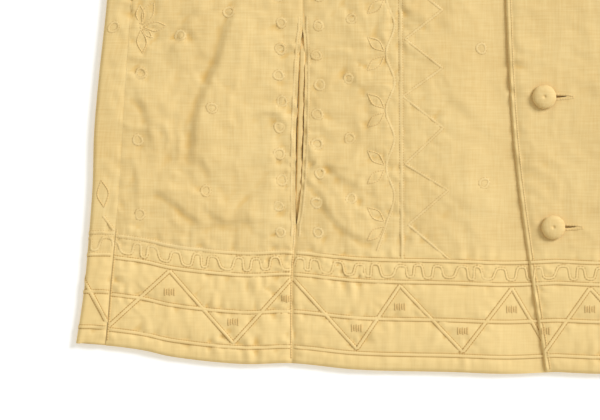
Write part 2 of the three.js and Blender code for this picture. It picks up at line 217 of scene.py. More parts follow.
@dataclass(frozen=True)
class Cut:
    """Outline and layers of the laid-out jacket."""

    fold: Track = Track((
        (0, 320), (20, 317), (40, 313.8), (60, 311.2), (97, 308), (125, 306), (160, 305), (200, 301.5),
        (247, 296.5), (340, 290), (431, 284), (505, 284),
    ))
    wrap: Track = Track((
        (0, 21.5), (20, 19.8), (40, 18.4), (60, 17.2), (97, 17.5), (125, 18), (160, 19), (200, 18), (247, 16),
        (340, 12), (431, 7), (505, 7),
    ))
    panel: Track = Track((
        (0, 174), (60, 174), (97, 171.5), (125, 170), (160, 169), (200, 167.8), (247, 167), (340, 170),
        (431, 186), (505, 212),
    ))
    edge: Track = Track((
        (0, 6.5), (78, 18.5), (154, 28), (247, 33), (345, 34), (450, 30), (560, 25), (640, 21),
    ))
    buttons: Track = Track((
        (0, -4), (78, 0.5), (154, 6), (247, 11), (345, 12.5), (450, 10), (560, 5), (640, 1),
    ))
    hem: Track = Track((
        (0, 1.2), (32, 0), (69, 1.2), (131, 2.8), (174, 7.0), (203, 6.4), (223, 7.6), (243, 9.8), (257, 11.9),
        (270, 15.0), (284, 17.2), (298, 18.7), (317, 20.2),
    ))
    armhole: tuple[tuple[float, float], ...] = (
        (284, 431), (262, 446), (242, 462), (224, 481), (212, 505), (209, 560), (215, 620), (230, 672),
    )
    panel_corner: int = 4  # the point of the armhole at which the panel seam ends
    neck: tuple[float, float] = (85, 715)
    front_neck: float = 640
    back_neck: float = 693
    neck_curve: float = 1.7
    underlap: float = 18
    seam_gap: float = 0.06
    slit: tuple[float, float] = (99, 226.6)
    slit_width: float = 5
    button_ups: tuple[float, ...] = (96.8, 182.9, 269, 355, 441, 527, 613)
    cloth: float = 1.7  # wall of the lined and lightly padded cotton
    top: float = 6.6  # face of the fronts
    under: float = 0.8  # face of the back, clear of the surface by the height of its embroidery
    lowest: float = 0.3  # nothing comes nearer to the surface than this
    lapped: float = 4.3  # face of the right front under the left one

    @property
    def roll(self) -> float:
        """Radius of the face where the cloth folds round a side."""
        return (self.top - self.under) / 2

    @property
    def shoulder_face(self) -> float:
        """Face of the fronts at the shoulder seam, where they lie on the back's edge."""
        return self.under + 2 * self.cloth + 0.1

    def arm_line(self, share: Array | float) -> Array:
        """Points of the armhole, out and up, for shares 0 at the underarm to 1 at the shoulder tip."""
        last = len(self.armhole) - 1
        tracks = [Track(tuple((i, stop[k]) for i, stop in enumerate(self.armhole))) for k in range(2)]
        return np.stack([track.at(np.asarray(share, float) * last) for track in tracks], axis=-1)

    def arm_out(self, up: Array | float) -> Array:
        """How far out the armhole lies at a height."""
        line = self.arm_line(np.linspace(0.0, 1.0, 200))
        return np.interp(up, line[:, 1], line[:, 0])

    def side_seam(self, up: Array | float) -> Array:
        """How far out the side seam lies at a height."""
        return self.fold.at(up) - self.wrap.at(up)

    def hem_up(self, x: Array | float) -> Array:
        """Height of the hem at x."""
        return self.hem.at(np.abs(x))

    def mouth(self, up: Array | float) -> Array:
        """Half the width of the open pocket slit at a height."""
        low, high = self.slit
        t = np.clip((np.asarray(up, float) - low) / (high - low), 0.0, 1.0)
        return self.slit_width / 2 * (4.0 * t * (1.0 - t)) ** 0.6

    def neckline(self, lowest: float, x: Array | float) -> Array:
        """Height of the neckline at x, for its lowest point at the centre."""
        share = np.clip(np.abs(x) / self.neck[0], 0.0, 1.0)
        return lowest + (self.neck[1] - lowest) * share**self.neck_curve

    @property
    def slope(self) -> float:
        """How much the shoulder seam falls for each millimetre out."""
        tip = self.armhole[-1]
        return (self.neck[1] - tip[1]) / (tip[0] - self.neck[0])

    def shoulder(self, x: Array) -> Array:
        """Height of the shoulder seam at x."""
        return self.neck[1] - self.slope * (np.abs(x) - self.neck[0])

    def top_up(self, lowest: float, x: Array) -> Array:
        """Height at x of a piece's top: its neckline, for that one's lowest point, and its shoulders."""
        return np.where(np.abs(x) > self.neck[0], self.shoulder(x), self.neckline(lowest, x))

    def below_shoulder(self, x: Array, up: Array) -> Array:
        """How far a point lies below the shoulder seam."""
        return (self.shoulder(x) - up) / math.hypot(1.0, self.slope)


CUT = Cut()

# ---------- embroidery, as lines on the flat cut ----------


class Stitch(Enum):
    """Ways of working a line, with the distance from its middle to each row of stitches."""

    CORDED = 1.25
    FINE = 0.85
    PLAIN = 0.45
    SATIN = 0.6


@dataclass(frozen=True)
class Line:
    """One worked line: its stitch and its evenly spaced points, as pairs of place across and height."""

    stitch: Stitch
    points: Array
    closed: bool = False

    @classmethod
    def through(cls, stitch: Stitch, points: Sequence[Sequence[float]], step: float = 0.0) -> "Line":
        """A line straight from point to point, at the stitch's own step unless one is given."""
        return cls(stitch, resample(points, step or STEP[stitch]))


STEP = {Stitch.CORDED: 1.5, Stitch.FINE: 1.0, Stitch.PLAIN: 1.6, Stitch.SATIN: 0.9}


@dataclass(frozen=True)
class HemBand:
    """The band of quilted rows above the hem. Heights are above the hem's edge."""

    rows: tuple[float, ...] = (11.0, 34.3, 58.9, 73.3)
    zigzag: tuple[float, float] = (13.5, 56.6)
    meander_middle: float = 66.0
    meander_swing: float = 4.0
    meander_pitch: float = 13.4
    lean: float = 0.6  # how far the meander's flanks lean
    drifts: tuple[tuple[float, float], ...] = ((1.5, 0.37), (0.8, 0.61))  # how far aside, and turns a wave
    flat_crest: float = 1.3
    comb_reach: float = 14.0
    comb_bars: int = 5
    comb_gap: float = 1.55
    comb_high: tuple[float, float] = (2.5, 2.0)  # half heights of a comb's bars, in turn
    comb_last: float = 280.0  # no combs stand farther out
    comb_seam: float = 174.0  # a comb here would stand on the panel seam
    off_seam: float = 3.6  # so it stands this much farther out

    def wave(self, start: float, end: float, hem: Callable[[Array], Array]) -> Array:
        """The meander between two places: a wave with flat, leaning crests."""
        even = np.arange(start, end, 0.4)
        turn = 2.0 * math.pi * even / self.meander_pitch
        x = even - self.lean * np.sin(2.0 * turn)
        for reach, share in self.drifts:
            x = x + reach * np.sin(share * turn)
        swing = self.meander_swing * (1.0 + 0.1 * np.sin(0.43 * turn))
        crest = np.tanh(self.flat_crest * np.sin(turn)) / math.tanh(self.flat_crest)
        return np.column_stack([x, hem(x) + self.meander_middle + swing * crest])

    def lines(
        self, start: float, end: float, turns: Sequence[float], first_high: bool,
        hem: Callable[[Array], Array], combs: bool = True,
    ) -> list[Line]:
        """The band's lines from one place to another.

        Args:
            start: Place at which the band starts.
            end: Place at which it ends.
            turns: Places at which the zigzag turns.
            first_high: Whether the first turn is a high one.
            hem: Height of the hem at each place.
            combs: Whether the little combs stand in the zigzag's corners.

        Returns:
            Rows, zigzag, meander and combs.
        """
        across = np.arange(start, end + 1.0, 2.0)
        edge = hem(across)
        made = [Line.through(Stitch.CORDED, np.column_stack([across, edge + row])) for row in self.rows]
        low, high = self.zigzag
        corners = []
        for i, turn in enumerate(turns):
            is_high = (i % 2 == 0) == first_high
            corners.append((turn, float(hem(np.array(turn))) + (high if is_high else low)))
            if combs and abs(turn) < self.comb_last:
                place = turn + math.copysign(self.off_seam, turn) if abs(turn) == self.comb_seam else turn
                made.extend(self.comb(place, corners[-1][1] + (-1 if is_high else 1) * self.comb_reach))
        made.append(Line.through(Stitch.CORDED, corners))
        made.append(Line.through(Stitch.FINE, self.wave(start, end, hem)))
        return made

    def comb(self, x: float, up: float) -> list[Line]:
        """A comb of short upright satin bars, centred on a point."""
        bars = []
        for k in range(self.comb_bars):
            place = x + (k - (self.comb_bars - 1) / 2) * self.comb_gap
            reach = self.comb_high[k % 2]
            bars.append(Line.through(Stitch.SATIN, [(place, up - reach), (place, up + reach)]))
        return bars


@dataclass(frozen=True)
class FrontPattern:
    """The vine, the zigzag and the scattered rings of one front. Places are distances from the centre."""

    vine_out: float = 103.5
    node_out: float = 112.0
    nodes: tuple[float, float, int] = (99.0, 37.5, 13)
    zigzag_out: tuple[float, float] = (99.5, 75.0)
    zigzag_low: tuple[tuple[float, float], ...] = (
        (70.6, 76.0), (97.4, 98.5), (71.1, 121.4), (99.5, 138.6), (74.4, 162.6), (101.2, 183.3),
        (74.9, 202.0),
    )
    zigzag_pitch: float = 19.2
    zigzag_top: float = 570.0
    ring: float = 3.1
    beside_slit: tuple[tuple[float, float, float, int], ...] = (
        (182.0, 93.5, 17.3, 10), (157.0, 93.5, 19.5, 9), (136.0, 116.0, 39.5, 6), (48.5, 126.0, 89.0, 5),
        (147.0, 330.0, 84.0, 3), (216.0, 262.0, 71.0, 3),
    )
    scattered: tuple[tuple[float, float], ...] = (
        (216, 239), (227, 175.5), (231, 121), (274, 198.5), (276, 154.5), (274.5, 105.5), (248, 223.5),
        (262, 290), (246, 352), (240, 410), (66, 560), (150, 610),
    )
    flowers: tuple[tuple[float, float], ...] = ((274, 229), (252, 318))
    petals: tuple[tuple[float, float], ...] = (  # the angle and length of each
        (0.05, 17.0), (-0.75, 10.0), (-1.5, 17.5), (1.1, 19.0), (1.62, 15.0),
    )

    def ring_at(self, x: float, up: float) -> Line:
        """A padded ring round a point."""
        turn = np.linspace(0.0, 2.0 * math.pi, 19)[:-1]
        wobble = 0.98 + 0.06 * np.sin(2.0 * turn + x) + 0.05 * np.sin(3.0 * turn + up)
        radius = self.ring * (wobble + 0.06 * math.sin(x + up))
        points = np.column_stack([x + radius * np.cos(turn), up + radius * np.sin(turn)])
        return Line(Stitch.FINE, points, closed=True)

    def leaf(self, start: tuple[float, float], tip: tuple[float, float]) -> list[Line]:
        """A leaf's outline from its stalk to its tip: two bowed lines of stitches."""
        a, b = np.array(start), np.array(tip)
        bow = 0.2 * np.array([a[1] - b[1], b[0] - a[0]])
        middles = ((a + b) / 2 - bow, (a + b) / 2 + bow)
        return [Line(Stitch.PLAIN, curve_through([a, middle, b], 1.0)) for middle in middles]

    def lines(self) -> list[Line]:
        """Every line of the wearer's left front, from above the hem band upward."""
        first, pitch, count = self.nodes
        ups = [first + pitch * k for k in range(count)]
        made = [Line.through(Stitch.CORDED, [(self.vine_out - 2, 74), (self.vine_out + 1, ups[-1])])]
        arc: list[tuple[float, float]] = [(self.node_out + 6, 81.0)]
        for up, upper in zip(ups, ups[1:] + [ups[-1] + pitch]):
            arc.append((self.node_out, up))
            arc.append((self.node_out - 5.5, mix(up, upper, 0.5)))
            reach = self.node_out + 12.5
            made.extend(self.leaf((self.node_out + 1.2, up + 1.5), (reach, up + 11.0)))
            made.extend(self.leaf((self.node_out + 1.2, up - 1.5), (reach, up - 11.0)))
        made.append(Line(Stitch.FINE, curve_through(arc, STEP[Stitch.FINE])))
        corners = list(self.zigzag_low)
        while corners[-1][1] < self.zigzag_top:
            corners.append((self.zigzag_out[(len(corners) + 1) % 2], corners[-1][1] + self.zigzag_pitch))
        made.append(Line.through(Stitch.FINE, corners))
        for out, start, gap, number in self.beside_slit:
            for k in range(number):
                made.append(self.ring_at(out + 1.2 * math.sin(2.3 * k + out), start + gap * k))
        for way in (-1.0, 1.0):
            ups = np.arange(CUT.slit[0] - 8.0, CUT.slit[1] + 10.0, STEP[Stitch.FINE])
            beside = CUT.panel.at(ups) + way * (CUT.mouth(ups) + 2.6)
            made.append(Line(Stitch.FINE, np.column_stack([beside, ups])))
        made.extend(self.ring_at(x, up) for x, up in self.scattered)
        for place in self.flowers:
            made.extend(self.bloom(*place))
        return made

    def bloom(self, x: float, up: float) -> list[Line]:
        """Five petals of uneven length round a knot."""
        made = [self.bead(x, up)]
        knot = 1.6
        for angle, reach in self.petals:
            way = np.array([-math.cos(angle), math.sin(angle)])
            start = np.array([x, up]) + knot * way
            made.extend(self.leaf(tuple(start), tuple(start + (reach - knot) * way)))
        return made

    def bead(self, x: float, up: float) -> Line:
        """A satin knot."""
        return Line.through(Stitch.SATIN, [(x, up - 1.1), (x, up + 1.1)], 0.5)


def mirrored(lines: Iterable[Line]) -> list[Line]:
    """The same lines on the other side of the centre."""
    return [Line(a.stitch, a.points * np.array([-1.0, 1.0]), a.closed) for a in lines]


Edge = Callable[[Array], Array]  # how far across an edge lies, at each height


def clipped(lines: Iterable[Line], low: Edge, high: Edge) -> list[Line]:
    """The parts of lines that lie on one piece.

    Args:
        lines: Lines in the piece's own places.
        low: The piece's lower edge across, at each height.
        high: Its upper edge.

    Returns:
        Runs of three points or more; a closed line is kept whole or left out.
    """
    made = []
    for line in lines:
        across, up = line.points.T
        inside = (across > low(up)) & (across < high(up))
        if inside.all():
            made.append(line)
            continue
        if line.closed or not inside.any():
            continue
        edges = np.flatnonzero(np.diff(np.concatenate([[0], inside.astype(int), [0]])))
        for start, end in zip(edges[::2], edges[1::2]):
            if end - start >= 3:
                made.append(Line(line.stitch, line.points[start:end]))
    return made


# ---------- how the cloth lies ----------


@dataclass(frozen=True)
class Crease:
    """A soft ridge with one steep flank, which faces the hem and the wearer's right."""

    path: tuple[tuple[float, float], ...]
    high: float
    steep: float = 6.0
    gentle: float = 22.0

    def height(self, x: Array, up: Array) -> Array:
        """How far the crease lifts the cloth at points x, up."""
        points = np.column_stack([x, up])
        line = curve_through(self.path, 6.0)
        reach = 2.5 * self.gentle
        near = np.all((points > line.min(0) - reach) & (points < line.max(0) + reach), axis=1)
        made = np.zeros(len(points))
        if not near.any():
            return made
        p = points[near]
        a, way = line[:-1], np.diff(line, axis=0)
        length = np.hypot(*way.T)
        best = np.full(len(p), 1e9)
        side = np.zeros(len(p))
        along = np.zeros(len(p))
        start = 0.0
        overall = line[-1] - line[0]
        flank = np.sign(overall[1] * -0.8 - overall[0] * -0.6) or 1.0
        for i in range(len(a)):
            t = np.clip(((p - a[i]) @ way[i]) / length[i] ** 2, 0.0, 1.0)
            off = p - (a[i] + t[:, None] * way[i])
            distance = np.hypot(*off.T)
            closer = distance < best
            best = np.where(closer, distance, best)
            turn = np.sign(way[i][1] * off[:, 0] - way[i][0] * off[:, 1])
            side = np.where(closer, -turn * flank, side)
            along = np.where(closer, start + t * length[i], along)
            start += length[i]
        q = best * side
        rise = ease((q + self.steep / 2) / self.steep)
        fall = swell(np.maximum(q - self.steep / 2, 0.0), self.gentle)
        ends = ease(along / (0.3 * start)) * ease((start - along) / (0.3 * start))
        made[near] = self.high * rise * fall * ends
        return made


CREASES = (
    Crease(((-206, 262), (-218, 228), (-224, 207), (-232, 189), (-238, 170), (-240, 154), (-241, 136),
            (-237, 116)), 2.6, 7.0, 26.0),
    Crease(((-280, 192), (-271, 171), (-269, 161), (-266, 144)), 1.4, 6.0, 15.0),
    Crease(((-270, 124), (-258, 116), (-248, 110), (-240, 102), (-226, 99)), 1.5, 5.0, 14.0),
    Crease(((-246, 94), (-226, 98), (-206, 101), (-182, 100)), 1.2, 5.0, 12.0),
    Crease(((-235, 114), (-226, 104), (-214, 99)), 0.9, 4.0, 10.0),
    Crease(((-217, 104), (-203, 114), (-195, 124), (-184, 136)), 0.9, 6.0, 12.0),
    Crease(((-158, 126), (-152, 110), (-145, 99), (-135, 91), (-124, 87), (-110, 89)), 1.3, 5.0, 16.0),
    Crease(((-157, 147), (-145, 131), (-135, 125), (-124, 120), (-113, 115)), 1.1, 5.0, 14.0),
    Crease(((-143, 205), (-135, 193), (-127, 190), (-124, 178), (-123, 165), (-128, 148)), 1.0, 5.0, 13.0),
    Crease(((-78, 186), (-63, 177), (-53, 168), (-42, 156), (-33, 139)), 0.9, 8.0, 20.0),
    Crease(((-88, 90), (-76, 108), (-63, 112), (-50, 108), (-26, 103)), 0.9, 8.0, 20.0),
    Crease(((-281, 145), (-277, 125), (-279, 96)), 0.9, 4.0, 9.0),
    Crease(((-230, 256), (-242, 234), (-251, 220), (-259, 203)), 1.2, 6.0, 14.0),
    Crease(((-236, 202), (-251, 186), (-265, 170)), 0.9, 6.0, 14.0),
    Crease(((4, 216), (18, 207), (32, 203)), 0.8, 4.0, 10.0),
    Crease(((8, 182), (22, 186), (36, 193)), 0.8, 4.0, 10.0),
    Crease(((-106, 220), (-87, 207), (-74, 201)), 0.8, 5.0, 12.0),
    Crease(((-46, 197), (-36, 185), (-27, 181)), 0.9, 4.0, 10.0),
    Crease(((-106, 250), (-94, 234), (-80, 226)), 0.8, 5.0, 12.0),
    Crease(((-8, 151), (7, 138), (20, 131)), 0.8, 5.0, 12.0),
    Crease(((-206, 72), (-200, 46), (-203, 18)), 0.7, 4.0, 9.0),
    Crease(((-262, 64), (-258, 42), (-262, 24)), 0.8, 4.0, 8.0),
    Crease(((-243, 60), (-246, 40), (-240, 18)), 0.6, 4.0, 9.0),
    Crease(((-84, 56), (-80, 34), (-86, 14)), 0.6, 4.0, 9.0),
    Crease(((-138, 62), (-142, 40), (-136, 20)), 0.6, 4.0, 9.0),
    Crease(((-250, 420), (-226, 382), (-214, 336), (-206, 290)), 2.2, 8.0, 26.0),
    Crease(((-268, 404), (-240, 350), (-232, 310)), 1.6, 7.0, 20.0),
    Crease(((-190, 560), (-160, 520), (-146, 470), (-150, 420)), 2.0, 8.0, 26.0),
    Crease(((-70, 600), (-62, 540), (-76, 480), (-60, 430)), 1.8, 8.0, 24.0),
    Crease(((-130, 640), (-108, 600), (-98, 560)), 1.4, 7.0, 20.0),
    Crease(((-140, 400), (-110, 372), (-96, 330), (-104, 290)), 1.7, 7.0, 22.0),
    Crease(((-60, 390), (-48, 350), (-54, 310)), 1.3, 6.0, 18.0),
)


def swell(distance: Array, reach: float) -> Array:
    """A round swelling of height 1 at distance 0, nearly gone at twice its reach."""
    return np.exp(-((distance / reach) ** 2))


def calm(x: Array) -> Array:
    """How much of its rumples the cloth keeps at x: the centre of the fronts lies flatter than the rest."""
    centre, sides = 0.72, 1.2
    still, width = 92.0, 45.0  # the centre's half width, and that of the strip in which the cloth changes
    return mix(centre, sides, ease((np.abs(x) - still) / width))


class StitchField:
    """How the cloth near worked lines is drawn in: a shallow valley along each line, puckered across."""

    APART = 500.0  # puckers of one line start this far from those of the line before it
    DEPTH = {Stitch.CORDED: 0.6, Stitch.PLAIN: 0.6, Stitch.FINE: 0.38}  # of the valleys; satin has none
    REACH = 3.2  # of the valleys
    PUCKERED = 1.25

    def __init__(self, lines: Iterable[Line], seed: int) -> None:
        """Args: the worked lines on the cloth, and a seed for the puckers."""
        points, along, depth = [], [], []
        drawn = [line for line in lines if line.stitch in self.DEPTH]
        for i, line in enumerate(drawn):
            points.append(line.points)
            depth.append(np.full(len(line.points), self.DEPTH[line.stitch]))
            along.append(i * self.APART + lengths(line.points))
        self.points = np.concatenate(points)
        self.along = np.concatenate(along)
        self.depth = np.concatenate(depth)
        self.tree = KDTree(len(self.points))
        for i, (x, up) in enumerate(self.points):
            self.tree.insert((x, up, 0.0), i)
        self.tree.balance()
        self.pucker = Noise(seed, 4.6)
        self.strength = Noise(seed + 1, 30.0)

    def height(self, x: Array, up: Array) -> Array:
        """How far the lines move the cloth at points x, up. Lines sink it and puckers ripple it."""
        found = [self.tree.find((a, b, 0.0)) for a, b in zip(x.tolist(), up.tolist())]
        distance = np.array([hit[2] for hit in found])
        nearest = [hit[1] for hit in found]
        ripple = self.pucker.at(self.along[nearest], 0.25 * distance + 7.0)
        ripple = ripple * (1.0 + self.strength.at(x, up))
        reach = ease((distance - 0.5) / 2.0) * np.exp(-distance / 8.0) * calm(x)
        return self.PUCKERED * ripple * reach - self.depth[nearest] * swell(distance, self.REACH)


class Face:
    """The jacket's upper face: the height of the laid-out cloth at each place."""

    LAPPED = 0.15  # how much higher the left front lies than the right one
    CREASED = 1.15  # how much of their own height the creases get
    SEWN = 0.5  # how much of its relief the cloth keeps in the hem band
    PUFF = 0.35  # how far the hem band puffs up between its rows
    RIPPLE = 0.24  # how high the cloth ripples beside the side seams
    FOLDED = (11.0, 2.0)  # the relief fades out between these distances from the fold

    def __init__(self, stitches: StitchField) -> None:
        """Args: stitches, the field of every worked line on the face."""
        self.stitches = stitches
        self.warp = Noise(11, 34.0)
        self.broad = Noise(12, 60.0)
        self.rumple = Noise(13, 19.0)
        self.small = Noise(14, 8.5)
        self.fine = Noise(15, 3.9)
        self.side_ripple = Noise(16, 3.3)

    def rumples(self, x: Array, up: Array) -> Array:
        """Uneven small creases of laundered cotton, softer where the noise is weak."""
        wx = x + 9.0 * self.warp.at(x, up)
        wy = up + 9.0 * self.warp.at(up + 300.0, x)
        ridge = (1.0 - np.abs(self.rumple.at(wx, wy * 0.8))) ** 3
        patches = 0.55 + 0.45 * self.broad.at(x + 90.0, up)
        return 0.95 * ridge * patches + 0.42 * self.small.at(wx, wy) + 0.12 * self.fine.at(x, up)

    def height(self, x: Array, up: Array, side: Side) -> Array:
        """Height of the face.

        Args:
            x: Places across.
            up: Heights above the hem's lowest point.
            side: The side whose cloth is meant, as both lie over each other at the front.

        Returns:
            Heights above the surface that the jacket lies on.
        """
        x, up = np.asarray(x, float), np.asarray(up, float)
        out = side.value * x  # distance from the centre on the piece's own side
        relief = self.relief(x, up, side)
        z = CUT.top + relief - self.seams(out, up)
        below = CUT.below_shoulder(x, up)
        z = z - (CUT.top - CUT.shoulder_face) * (1.0 - ease(below / 14.0))
        z = z - relief * (1.0 - ease(below / 30.0))
        if side is Side.RIGHT:
            under_left = ease((x + CUT.edge.at(up) + 38.0) / 34.0)
            return mix(z, CUT.lapped + 0.3 * relief, under_left)
        from_edge = x + CUT.edge.at(up)
        z = z + self.LAPPED - 0.24 * swell(from_edge - 3.2, 1.3) - 1.1 * (1.0 - ease(from_edge / 1.5)) ** 2
        for button_up in CUT.button_ups:
            z = z - 0.5 * swell(np.hypot(x + CUT.buttons.at(button_up), up - button_up), 9.0)
        return z

    def relief(self, x: Array, up: Array, side: Side) -> Array:
        """How far rumples, creases, quilting and stitches move a side's cloth."""
        out = side.value * x
        relief = 0.5 * self.broad.at(x, up) + self.rumples(x, up) * calm(x)
        as_right = x if side is Side.RIGHT else -x - 4.0  # both sides have the same creases, a little off
        for crease in CREASES:
            relief = relief + self.CREASED * crease.height(as_right, up)
        band = up - CUT.hem_up(x)
        puffed = np.abs(np.sin(math.pi * (band - 11.0) / 23.7))  # highest midway between the sewn rows
        quilt = puffed * ease((60.0 - band) / 6.0) * ease(band / 10.0)
        relief = relief * mix(self.SEWN, 1.0, ease((band - 66.0) / 22.0)) + self.PUFF * quilt
        ripple = self.side_ripple.at(x * 0.2, up) * (1.0 + self.broad.at(up, x))
        relief = relief + self.RIPPLE * swell(out - CUT.side_seam(up), 16.0) * ripple
        relief = relief + self.stitches.height(x, up)
        start, end = self.FOLDED
        return relief * (1.0 - ease((out - CUT.fold.at(up) + start) / (start - end)))

    def seams(self, out: Array, up: Array) -> Array:
        """How far the cloth rolls down into its seams and round its hem."""
        side = np.abs(out - CUT.side_seam(up))
        panel = np.abs(out - CUT.panel.at(up)) - CUT.mouth(up)
        in_body = ease((CUT.armhole[CUT.panel_corner][1] + 6.0 - up) / 4.0)
        lip = np.where(CUT.mouth(up) > 0.05, 0.55, 1.0)
        sunk = 0.25 * swell(side, 1.7) + 0.8 * lip * in_body * swell(np.maximum(panel, 0), 1.6)
        arm = np.abs(out - CUT.arm_out(up)) * 0.8
        sunk = sunk + np.where(up > CUT.armhole[0][1], 0.8 * swell(arm, 1.8), 0.0)
        band = up - CUT.hem_up(out)
        return sunk + 1.5 * (1.0 - ease(band / 2.2)) ** 2 + 0.5 * (1.0 - ease(band / 7.0))


@dataclass(frozen=True)
class Placed:
    """Where points of a cut lie: their places in millimetres and the way that the cloth faces there."""

    points: Array
    normals: Array


class FaceSkin:
    """Places lines on a piece of the upper face, by x and height."""

    def __init__(self, face: Face, side: Side) -> None:
        """Args: the face and the side whose cloth carries the lines."""
        self.face = face
        self.side = side

    def at(self, across: Array, up: Array) -> Placed:
        """The points at x and height, facing up."""
        z = self.face.height(across, up, self.side)
        normals = np.zeros((len(across), 3))
        normals[:, 2] = 1.0
        return Placed(np.column_stack([across, up, z]), normals)


class BackSkin:
    """The back, as one cloth: across it, round both folds and on to the front as far as the side seams.

    Its place across, s, is 0 at the centre back and grows towards the wearer's right.
    """

    def __init__(self, face: Face) -> None:
        """Args: face, whose height the strips in front of the folds follow."""
        self.face = face
        self.lining = Noise(31, 42.0)
        self.small = Noise(32, 15.0)

    @staticmethod
    def stops(up: Array) -> tuple[Array, Array, Array]:
        """Where the fold starts, where it ends and where the side seam lies, as places s at a height."""
        flat = CUT.fold.at(up) - CUT.roll
        end = flat + math.pi * CUT.roll
        return flat, end, end + CUT.wrap.at(up) - CUT.roll - CUT.seam_gap / 2

    def at(self, across: Array, up: Array) -> Placed:
        """The points at places s and heights."""
        side, s = np.where(np.sign(across) == 0, 1.0, np.sign(across)), np.abs(across)
        flat, end, _ = self.stops(up)
        angle = np.clip((s - flat) / CUT.roll, 0.0, math.pi)
        out = np.where(s < flat, s, flat + CUT.roll * np.sin(angle) - np.maximum(s - end, 0.0))
        x = -side * out
        middle = CUT.under + CUT.roll
        hollow = 0.28 * (1.0 + self.lining.at(x, up)) + 0.12 * self.small.at(x, up)
        under = CUT.under + hollow * ease((flat - s) / 14.0)
        z = np.where(s < flat, under, middle - CUT.roll * np.cos(angle))
        front = s > end
        for way in Side:
            mine = front & (side == (1.0 if way is Side.RIGHT else -1.0))
            if mine.any():
                z[mine] = self.face.height(x[mine], up[mine], way)
        normals = np.column_stack([-side * np.sin(angle), np.zeros(len(x)), -np.cos(angle)])
        return Placed(np.column_stack([x, up, z]), normals)


# ---------- meshes ----------

ROW = 0.66  # where a row of stitches runs, as a share of a ribbon's half width
STITCH_LENGTH = 1.7
MAP_SHIFT = {Stitch.SATIN: 3.0, Stitch.PLAIN: 6.0}  # sets these ribbons apart in the texture map


def to_frame(points: Array) -> Array:
    """Points in metres in the shared frame, from the jacket's millimetres."""
    return (points + np.array([0.0, HEM_Y, 0.0])) * MM


@dataclass
class Sheet:
    """A cloth as a grid of points, with its flat cut as its texture map."""

    name: str
    across: Array  # (rows, columns) places on the cut
    up: Array
    points: Array  # (rows, columns, 3)
    reach: int = 4  # how many cells away a point is compared with, to tell whether it lies in a hollow

    def hollows(self) -> Array:
        """How far each point lies below the cloth round it, along the rows and the columns."""
        z = self.points[:, :, 2]
        total = np.zeros(z.shape)
        for way in (-self.reach, self.reach):
            rows, columns = (np.clip(np.arange(size) + way, 0, size - 1) for size in z.shape)
            total = total + z[rows] + z[:, columns]
        return total / 4.0 - z

    def outline(self) -> Array:
        """The cut's edge, once round, as pairs of place across and height."""
        cut = np.dstack([self.across, self.up])
        return np.vstack([cut[0], cut[1:, -1], cut[-1, -2::-1], cut[-2:0:-1, 0]])

    def build(self, wall: float, joined: bool = False, facing_out: bool = True) -> Object:
        """Makes the mesh.

        Args:
            wall: Thickness of the cloth, laid on inside its face; 0 leaves a bare sheet to work on.
            joined: Whether the last column meets the first.
            facing_out: Whether the grid's own winding already faces out.

        Returns:
            The object, one closed solid.
        """
        rows, columns = self.across.shape
        bpy.ops.object.select_all(action="DESELECT")
        bpy.ops.mesh.primitive_grid_add(x_subdivisions=columns - 1, y_subdivisions=rows - 1, size=2.0)
        made = bpy.context.object
        made.name = made.data.name = self.name
        places = np.empty(len(made.data.vertices) * 3)
        made.data.vertices.foreach_get("co", places)
        places = places.reshape(-1, 3)
        i = np.rint((places[:, 0] + 1.0) / 2.0 * (columns - 1)).astype(int)
        j = np.rint((places[:, 1] + 1.0) / 2.0 * (rows - 1)).astype(int)
        made.data.vertices.foreach_set("co", to_frame(self.points[j, i]).ravel())
        corner = np.empty(len(made.data.loops), dtype=np.int32)
        made.data.loops.foreach_get("vertex_index", corner)
        flat = np.column_stack([self.across[j, i], self.up[j, i]]) * MM
        made.data.uv_layers.active.data.foreach_set("uv", flat[corner].ravel())
        # the depth of each hollow, from which the cloth's material paints shade in its creases
        hollow = made.data.attributes.new("hollow", "FLOAT", "POINT")
        hollow.data.foreach_set("value", self.hollows()[j, i].astype(np.float32))
        made.data.update()
        if joined or not facing_out:
            bpy.ops.object.mode_set(mode="EDIT")
            bpy.ops.mesh.select_all(action="SELECT")
            if joined:
                bpy.ops.mesh.remove_doubles(threshold=0.02 * MM)
            if not facing_out:
                bpy.ops.mesh.flip_normals()
            bpy.ops.object.mode_set(mode="OBJECT")
        if wall > 0.0:
            self.thicken(made, wall)
        return made

    @staticmethod
    def thicken(made: Object, wall: float) -> None:
        """Gives a sheet its wall, inward from its face, and smooths its shading."""
        solidify = made.modifiers.new("wall", "SOLIDIFY")
        solidify.thickness = wall * MM
        solidify.offset = -1.0
        bpy.ops.object.modifier_apply(modifier=solidify.name)
        for vert in made.data.vertices:  # where a fold is tighter than its wall
            vert.co.z = max(vert.co.z, CUT.lowest * MM)
        bpy.ops.object.shade_smooth_by_angle(angle=math.radians(55))


def blended(
    u: Array, v: Array, sides: tuple[Array, Array], ends: tuple[Array, Array], lift: Sequence[float],
) -> tuple[Array, Array]:
    """A grid between four boundary lines.

    Args:
        u: Shares across, from 0 to 1.
        v: Shares up.
        sides: Left and right lines, a pair of coordinates for each v.
        ends: Bottom and top lines, a pair for each u.
        lift: Shares v over which the bottom's bow dies away and from which the top's begins.

    Returns:
        Two arrays of (rows, columns), the places across and up.
    """
    left, right = sides
    bottom, top = ends
    fade = 1.0 - ease(v / lift[0])
    grow = ease((v - lift[1]) / (1.0 - lift[1]))
    made = []
    for k in range(2):
        ruled = mix(left[:, k][:, None], right[:, k][:, None], u[None, :])
        low = bottom[:, k] - mix(bottom[0, k], bottom[-1, k], u)
        high = top[:, k] - mix(top[0, k], top[-1, k], u)
        made.append(ruled + fade[:, None] * low + grow[:, None] * high)
    return made[0], made[1]


